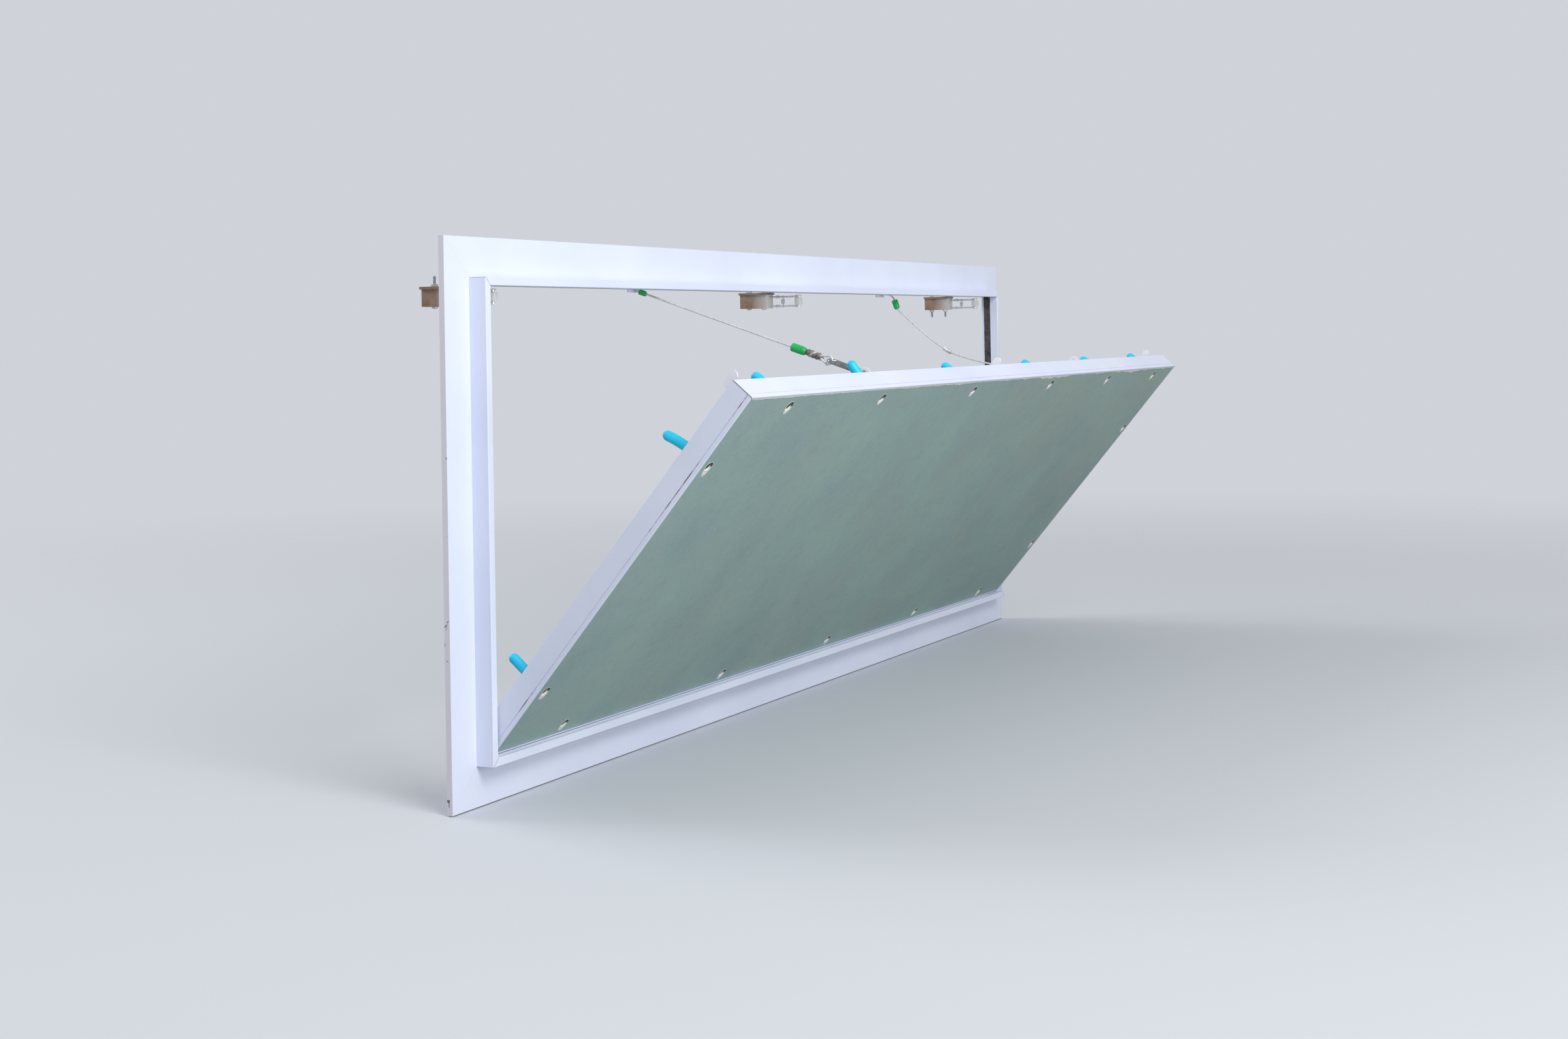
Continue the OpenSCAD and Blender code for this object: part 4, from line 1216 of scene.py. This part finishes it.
@dataclass(frozen=True)
class BoardFixings:
    """The fifteen board screws seen from both sides: caps over their tips, heads, and torn paper round them.

    Rows are shares of the door's width or height; places are on the closed door, and sizes are in
    millimetres. bent gives a screw's number, how far its tip leans along x and z, and how much longer its
    cap is. hole gives the section round a screw hole from the head's rim up the wall, over the edge, out
    on the paper and back under it, in rows of radius, share of the smear, depth and share of painted
    shade, which is black.
    edge_waves gives the length and height of each wave of the torn edge, and edge_growth how much of them
    shows at places along x.
    """

    door_w: float = 1200.0
    door_h: float = 400.0
    inset: float = 14.0
    top: tuple[float, ...] = (0.071, 0.23, 0.42, 0.615, 0.785, 0.94)
    bottom: tuple[float, ...] = (0.083, 0.33, 0.538, 0.746, 0.927)
    left: tuple[float, ...] = (0.18, 0.8125)
    right: tuple[float, ...] = (0.2225, 0.735)
    chance_lean: float = 0.6
    bent: tuple[tuple[int, float, float, float], ...] = (
        (0, 0.0, -1.2, -1.5), (1, -3.9, 6.9, 0.5), (2, 0.0, -1.0, -2.0), (3, 0.0, -2.6, -3.2),
        (4, 0.0, -2.4, -3.2), (5, 0.0, -1.2, -3.0), (12, 0.0, -6.5, 4.0))
    seat_back: float = -3.3
    cap_end: float = 28.3
    cap_r: float = 4.5
    cap_sides: int = 32
    tube_rings: int = 22
    dome_rings: int = 14
    dome_at: float = 0.86
    dome_start: float = 0.05
    dome_least: float = 0.004
    rim_swell: float = 0.02
    rim_share: float = 0.06
    face: float = -17.3
    head_sink: float = 1.6
    head_r: float = 4.0
    head_sides: int = 64
    rim_shares: tuple[float, float] = (1.0, 0.985)
    face_shares: tuple[float, float] = (0.95, 0.03)
    face_rings: int = 26
    stem_rings: int = 16
    head_break: tuple[float, float] = (0.12, 0.04)
    recess_deep: float = 1.4
    recess_half: float = 0.62
    recess_flank: float = 0.2
    recess_reach: float = 2.5
    recess_end: float = 0.6
    shank: float = 40.0
    shank_r: float = 1.75
    tip_long: float = 2.0
    tip_r: float = 0.4
    neck: float = 2.8
    cone_end: tuple[float, float] = (0.25, 3.95)
    hole: tuple[tuple[float, float, float, float], ...] = (
        (4.03, 0.0, 1.58, 1.0), (4.55, 0.0, 1.5, 1.0), (4.88, 0.0, 1.15, 1.0), (4.95, 0.0, 0.45, 1.0),
        (5.0, 0.03, 0.0, 0.9), (5.0, 0.25, -0.17, 0.0), (5.0, 0.6, -0.14, 0.0), (5.0, 0.9, -0.08, 0.0),
        (5.0, 1.0, 0.06, 0.0), (5.2, 0.0, 0.7, 0.0), (5.2, 0.0, 1.9, 0.0), (4.03, 0.0, 1.9, 0.0))
    hole_sides: int = 72
    smear: tuple[float, float] = (2.5, 5.5)
    smear_waves: int = 5
    board_half: tuple[float, float] = (597.7, 197.7)
    edge_waves: tuple[tuple[float, float], ...] = (
        (310.0, 0.9), (140.0, 0.7), (63.0, 0.5), (27.0, 0.45), (11.0, 0.35), (5.0, 0.25))
    edge_growth: tuple[tuple[float, float], ...] = ((-600.0, 0.35), (-150.0, 0.5), (50.0, 1.0))
    edge_rings: int = 1200
    edge_clear: tuple[float, float] = (1.0, 0.1)
    seed: int = 7

    def places(self) -> np.ndarray:
        """Each screw's place on the closed door, row by row: top, bottom, left, right.

        Returns:
            Pairs of x and z.
        """
        row_x = self.door_w / 2 - self.inset
        row_z = self.door_h / 2 - self.inset
        across = (np.array(self.top + self.bottom) - 0.5) * self.door_w
        up = (np.array(self.left + self.right) - 0.5) * self.door_h
        x = np.concatenate((across, np.repeat((-row_x, row_x), (len(self.left), len(self.right)))))
        z = np.concatenate((np.repeat((row_z, -row_z), (len(self.top), len(self.bottom))), up))
        return np.column_stack((x, z))

    def leans(self) -> np.ndarray:
        """How far each tip leans along x and z and how much longer its cap is, by chance or as listed.

        Returns:
            A row of three for each screw.
        """
        rng = np.random.default_rng(self.seed)
        lean = rng.uniform(-self.chance_lean, self.chance_lean, (len(self.places()), 3)) * (1.0, 1.0, 0.0)
        for k, *by_hand in self.bent:
            lean[k] = by_hand
        return lean

    def bowed(self, x: float, z: float, lean: np.ndarray, back: np.ndarray) -> np.ndarray:
        """A screw's or cap's middle line: straight back, leaning with the square of the share along the cap.

        Args:
            x: the screw's place along the hinge.
            z: its height on the closed door.
            lean: how far the tip leans along x and z, and how much longer the cap is.
            back: distances behind the flange's plane, in millimetres.

        Returns:
            Points on the closed door, in millimetres.
        """
        share = np.clip((back - self.seat_back) / (self.cap_end + lean[2] - self.seat_back), 0.0, 1.0)
        return np.column_stack((x + lean[0] * share**2, back, z + lean[1] * share**2))

    def caps(self) -> Object:
        """Soft caps pushed over the screw tips: tubes with a domed end that lean a little, some of them bent.

        The radius falls to nothing over the dome as the square root of one less the square of its share,
        and swells a little at the mouth, as a bell curve of the share along.

        Returns:
            The caps, which ride on the door.
        """
        over = 1.0 - self.dome_at
        rise = np.sin(np.linspace(self.dome_start, 1.0, self.dome_rings) * math.pi / 2)
        tube = np.linspace(0.0, self.dome_at, self.tube_rings)
        share = np.concatenate((tube, self.dome_at + over * rise))[:, None]
        dome = np.clip((share - self.dome_at) / over, 0.0, 1.0)
        mouth = 1.0 + self.rim_swell * np.exp(-((share / self.rim_share) ** 2))
        radius = self.cap_r * np.sqrt(np.clip(1.0 - dome**2, self.dome_least, 1.0)) * mouth
        skins = []
        for (x, z), lean in zip(self.places(), self.leans()):
            back = self.seat_back + (self.cap_end + lean[2] - self.seat_back) * share[:, 0]
            line = self.bowed(x, z, lean, back) * MM
            skins.append(Skin.closed(swung(swept(line, radius * MM, self.cap_sides, Z_AXIS))))
        return piece("soft_screw_caps", skins, CAP_PVC, "screw_caps", "door")

    def heads(self) -> Object:
        """Countersunk heads with a cross recess, on shanks that bend with their caps.

        The head's face is a polar grid; its depth is the recess depth where the smaller of |u| and |v|
        is under half the slot's width and the larger is under the recess's reach, with soft flanks.

        Returns:
            The heads with their shanks, which ride on the door.
        """
        angle = around(self.head_sides)
        face_r = np.linspace(*self.face_shares, self.face_rings)
        ring_r = self.head_r * np.concatenate((self.rim_shares, face_r))[:, None]
        u, v = ring_r * np.cos(angle), ring_r * np.sin(angle)
        near, far = np.minimum(np.abs(u), np.abs(v)), np.maximum(np.abs(u), np.abs(v))
        slot = np.clip((self.recess_half - near) / self.recess_flank, 0.0, 1.0)
        ends = np.clip((self.recess_reach - far) / self.recess_end, 0.0, 1.0)
        top = self.face + self.head_sink
        depth = top + self.recess_deep * slot * ends
        depth[: len(self.rim_shares)] = top + np.array(self.head_break)[:, None]
        stem = np.linspace(self.shank - self.tip_long, self.neck, self.stem_rings)
        cone = np.concatenate(([self.shank], stem, self.cone_end[:1]))
        cone_r = np.concatenate(([self.tip_r], np.full(len(stem), self.shank_r), self.cone_end[1:]))
        spokes = cone_r[:, None, None] * np.column_stack((np.cos(angle), 0.0 * angle, np.sin(angle)))
        skins = []
        for (x, z), lean in zip(self.places(), self.leans()):
            line = self.bowed(x, z, lean, top + cone)[:, None]
            face = np.stack((x + u, depth, z + v), -1)
            skins.append(Skin.closed(swung(np.vstack((line + spokes, face)) * MM)))
        return piece("cross_recess_board_screws", skins, PHOSPHATE, "board_screws", "door")

    def torn_rims(self) -> Object:
        """Broken gypsum that lines the screw holes and is smeared on the paper below them.

        The smear is 0.3 + reach d^4 (1 + w / 2) + 0.35 w wide, and 0.12 at least, where d is the downward
        cosine and w a sum of a few waves round the hole, of random size and phase. The upper part of the
        hole's wall has painted shade, black, which starts at a sine of -0.35 and is full 0.4 above it.

        Returns:
            The rims, which ride on the door.
        """
        rng = np.random.default_rng(self.seed + 1)
        angle = around(self.hole_sides)
        down = np.clip(-np.sin(angle), 0.0, 1.0)
        wall_r, share, depth, inside = np.array(self.hole).T[..., None]
        # Painted shade: the upper part of each hole's wall is black.
        black = inside * np.clip((np.sin(angle) + 0.35) / 0.4, 0.0, 1.0)
        skins = []
        for x, z in self.places():
            phase = rng.uniform(0.0, math.tau, self.smear_waves)
            waves = sum(rng.uniform(0.1, 0.5) / (n + 1) * np.cos((n + 2) * angle + phase[n])
                        for n in range(self.smear_waves))
            reach = rng.uniform(*self.smear)
            wide = np.clip(0.3 + reach * down**4 * (1.0 + 0.5 * waves) + 0.35 * waves, 0.12, None)
            r = wall_r + share * wide
            ring = np.stack((x + r * np.cos(angle), self.face + depth + 0.0 * r, z + r * np.sin(angle)), -1)
            skins.append(Skin.hoop(swung(ring * MM), black))
        return piece("torn_paper_rims", skins, GYPSUM, body="door")

    def torn_edge(self) -> Object:
        """Torn paper and bare gypsum along the board's upper edge.

        A thin strip whose width is 0.6 mm and 1.3 times the positive part of w + 0.45, where w is a sum
        of waves of random phase; that part grows along the door.

        Returns:
            The strip, which rides on the door.
        """
        rng = np.random.default_rng(self.seed + 2)
        half_w, half_h = self.board_half
        end_clear, top_clear = self.edge_clear
        x = np.linspace(end_clear - half_w, half_w - end_clear, self.edge_rings)[:, None]
        length, size = np.array(self.edge_waves).T
        phase = rng.uniform(0.0, math.tau, len(length))
        waves = (size * np.sin(math.tau * x / length + phase)).sum(1, keepdims=True)
        torn = 0.6 + 1.3 * np.clip(waves + 0.45, 0.0, None) * np.interp(x, *np.array(self.edge_growth).T)
        back = np.array((0.06, -0.1, -0.13, 0.06))
        drop = np.array((0.0, 0.0, 0.75, 1.0))
        rings = np.stack((x + 0.0 * drop, self.face + back + 0.0 * x, half_h - top_clear - torn * drop), -1)
        return piece("torn_board_edge", [Skin.closed(swung(rings * MM))], GYPSUM, body="door")


@dataclass(frozen=True)
class RollerLatches:
    """Springs and threaded screws of the three roller latches, in millimetres.

    hook_turn gives where a spring's hook starts and ends round the arm's wire, in degrees.
    """

    names: tuple[str, ...] = ("left", "middle", "right")
    places: tuple[float, ...] = (-560.0, 45.0, 589.0)
    screws_down: str = "right"
    spring_y: float = 29.8
    arms: tuple[float, float] = (188.05, 198.55)
    hook_r: float = 1.4
    hook_gap: float = 2.6
    hook_turn: tuple[float, float] = (-250.0, 90.0)
    hook_points: int = 30
    coil_r: float = 1.75
    coil_wire: float = 0.75
    coil_turns: int = 8
    turn_points: int = 24
    spring_points: int = 420
    spring_sides: int = 10
    screws_at: tuple[tuple[float, float], ...] = ((-4.8, 52.0), (4.8, 76.0))
    body_low: float = 185.8
    plate_high: float = 203.7
    stub: float = 10.0
    screw_r: float = 1.5
    screw_sides: int = 28
    thread: float = 0.5
    thread_deep: float = 0.26
    thread_rings: int = 6
    tip_long: float = 0.6
    tip_least: float = 0.55
    head_r: float = 2.75
    head_t: float = 1.8
    head_wall: float = 0.45
    foot_r: float = 0.4
    dome_rings: int = 12
    dome_least: float = 0.05

    def spring(self, k: int) -> Object:
        """A close-wound spring that is hooked over both arms.

        The coil is x = r cos a, y = r sin a, with z growing evenly with a; each end goes to the middle
        and on into a hook, a circle round the arm's wire.

        Args:
            k: number of the latch.

        Returns:
            The spring, which rides on its fork.
        """
        low, high = self.arms
        a = np.linspace(0.0, math.tau * self.coil_turns, self.turn_points * self.coil_turns)
        rise = np.linspace(low + self.hook_gap, high - self.hook_gap, len(a))
        coil = np.column_stack((self.coil_r * np.cos(a), self.coil_r * np.sin(a), rise))
        bend = np.radians(np.linspace(*self.hook_turn, self.hook_points))
        hook = self.hook_r * np.column_stack((np.cos(bend), 0.0 * bend, np.sin(bend)))
        lower = hook + low * Z_AXIS
        upper = hook[::-1] * (1.0, 1.0, -1.0) + high * Z_AXIS
        path = np.vstack((lower, coil, upper)) + np.array((self.places[k], self.spring_y, 0.0))
        path = resampled(path * MM, self.spring_points)
        hint = unit(np.array((0.05, 0.3, 1.0)))
        rings = swept(path, self.coil_wire / 2 * MM, self.spring_sides, hint)
        name = self.names[k]
        return piece(f"latch_coil_{name}", [Skin.closed(rings)], BRIGHT_WIRE,
                     f"latch_spring_{name}", f"fork_{name}")

    def head(self) -> np.ndarray:
        """A domed head's profile: a flat underside, a short wall and a quarter of a circle over it.

        Returns:
            Pairs of rise and radius.
        """
        dome = np.linspace(0.0, math.pi / 2, self.dome_rings)
        rise = self.head_t * (self.head_wall + (1.0 - self.head_wall) * np.sin(dome))
        radius = self.head_r * np.maximum(np.cos(dome), self.dome_least)
        return np.vstack(((0.0, self.foot_r), (0.0, self.head_r), np.column_stack((rise, radius))))

    def screws(self) -> Object:
        """Threaded latch screws with domed heads; one latch has its screws turned down.

        The thread's radius is the screw's less a triangle wave of height along and turn round.

        Returns:
            The screws, which ride on the frame.
        """
        angle = around(self.screw_sides)
        length = self.plate_high - self.body_low + self.stub
        along = np.linspace(0.0, length, int(length / self.thread * self.thread_rings))[:, None]
        tooth = np.abs(((along / self.thread - angle / math.tau) % 1.0) - 0.5) * 2.0
        r = (self.screw_r - self.thread_deep * tooth) * np.clip((length - along) / self.tip_long,
                                                                self.tip_least, 1.0)
        skins = []
        for name, x in zip(self.names, self.places):
            way, base = (-1.0, self.plate_high) if name == self.screws_down else (1.0, self.body_low)
            for dx, y in self.screws_at:
                rod = np.stack((x + dx + r * np.cos(angle), y + way * r * np.sin(angle),
                                base + way * along + 0.0 * r), -1)
                seat = np.array((x + dx, y, base))
                skins.append(Skin.closed(rod * MM))
                dome = turned(self.head() * MM, seat * MM, -way * Z_AXIS, self.screw_sides)
                skins.append(Skin.closed(dome))
        return piece("latch_machine_screws", skins, ZINC, "latch_screws", "frame")


@dataclass(frozen=True)
class FoamSeals:
    """Foam strips in the recess round the opening: mitred, rounded, and skived a little unevenly.

    Sizes are in millimetres; near and deep are how far the open face and the seat lie outside the opening.
    Each wave of the face has a length along the strip, a slant across three millimetres of it and a phase,
    between wave_low and wave_high.
    """

    half_w: float = 602.0
    half_h: float = 202.0
    front: float = -7.0
    back: float = 2.5
    near: float = 0.5
    deep: float = 2.6
    edge_r: float = 0.7
    edge_points: int = 5
    face_points: int = 10
    gap: float = 1.0
    hollow: float = 0.42
    hollow_start: float = 0.4
    hollow_most: float = 2.0
    waves: int = 14
    wave_low: tuple[float, float, float] = (2.5, -0.5, 0.0)
    wave_high: tuple[float, float, float] = (40.0, 0.5, math.tau)
    slant_mm: float = 3.0
    seed: int = 21

    def section(self) -> np.ndarray:
        """The strip's section, from the front edge across the open face and back along the seat.

        Returns:
            Pairs of y and depth.
        """
        turn = np.linspace(0.0, math.pi / 2, self.edge_points)
        r = self.edge_r
        front = np.column_stack((self.front + r - r * np.cos(turn), self.near + r - r * np.sin(turn)))
        face = np.linspace(self.front + r, self.back - r, self.face_points + 2)[1:-1]
        face = np.column_stack((face, np.full(self.face_points, self.near)))
        rear = np.column_stack((self.back - r + r * np.sin(turn), self.near + r - r * np.cos(turn)))
        seat = np.array(((self.back, self.deep), (self.front, self.deep)))
        return np.vstack((front, face, rear, seat))

    def strip(self, side: str, out: np.ndarray) -> Object:
        """One side's strip, run along the cross product of y and the outward way, as long as its depth asks.

        The open face is hollowed by the positive part of a sum of cosines, each of its own random length
        and slant along the strip and of random phase, faded out towards the seat.

        Args:
            side: the side's name.
            out: the way from the middle of the opening to the side.

        Returns:
            The strip, which rides on the frame.
        """
        rng = np.random.default_rng(self.seed + len(side))
        upright = abs(out[0]) > 0.5
        half_run, half_out = (self.half_h, self.half_w) if upright else (self.half_w, self.half_h)
        across, depth = self.section().T
        share = np.linspace(-1.0, 1.0, int(2.0 * half_run / self.gap))[:, None]
        length, slant, phase = rng.uniform(self.wave_low, self.wave_high, (self.waves, 3)).T
        turns = (share * half_run)[..., None] / length + across[:, None] * slant / self.slant_mm
        uneven = np.cos(math.tau * turns + phase).sum(-1) / math.sqrt(self.waves)
        open_face = np.clip((self.deep - depth) / (self.deep - self.near), 0.0, 1.0)
        depth = depth + self.hollow * np.clip(self.hollow_start + uneven, 0.0, self.hollow_most) * open_face
        along = share * (half_run + depth)
        rings = (along[..., None] * np.cross(Y_AXIS, out) + (half_out + depth)[..., None] * out
                 + across[:, None] * Y_AXIS)
        return piece(f"foam_seal_{side}", [Skin.closed(rings * MM)], SEAL_FOAM, f"seal_{side}",
                     "frame")

    def build(self) -> None:
        """All four strips."""
        for side, out in (("top", Z_AXIS), ("bottom", -Z_AXIS), ("left", -X_AXIS), ("right", X_AXIS)):
            self.strip(side, out)


def lay_cables() -> None:
    left, right = LEFT_CABLE.rope(), RIGHT_CABLE.rope()
    top = LEFT_CABLE.tube("cable_top_sleeve", ((14.542, 200.363), (6.963, 197.803)),
                          sleeve_profile(radius=2.7 * MM), SLEEVE_PVC, Slot.SLEEVE, "cable_sleeve_top")
    sleeve = RIGHT_CABLE.tube("cable_slack_sleeve", ((3.1, 195.7), (-0.8, 184.9)),
                              sleeve_profile(radius=3.8 * MM), SLEEVE_PVC, Slot.SLEEVE, "cable_sleeve_right")
    ferrule = RIGHT_CABLE.tube("cable_slack_ferrule", ((-62.0, 135.4), (-72.0, 129.6)),
                               ferrule_profile(radius=3.0 * MM), CRIMP_ALLOY, Slot.FERRULE,
                               "cable_ferrule_right", crumpled())
    ends = CableEnds()
    ends.left_loop()
    ends.left_sleeve()
    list(ends.right_loop())


def main() -> None:
    logging.basicConfig(level=logging.INFO, format="%(name)s: %(message)s")
    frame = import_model()
    Viewpoint().build()
    lay_cables()
    fixings = BoardFixings()
    fixings.caps()
    fixings.heads()
    fixings.torn_rims()
    fixings.torn_edge()
    latches = RollerLatches()
    for k in range(len(latches.names)):
        latches.spring(k)
    latches.screws()
    FoamSeals().build()
    dress_nodes(frame["nodes"])
    Studio().build()


if __name__ == "__main__":
    main()
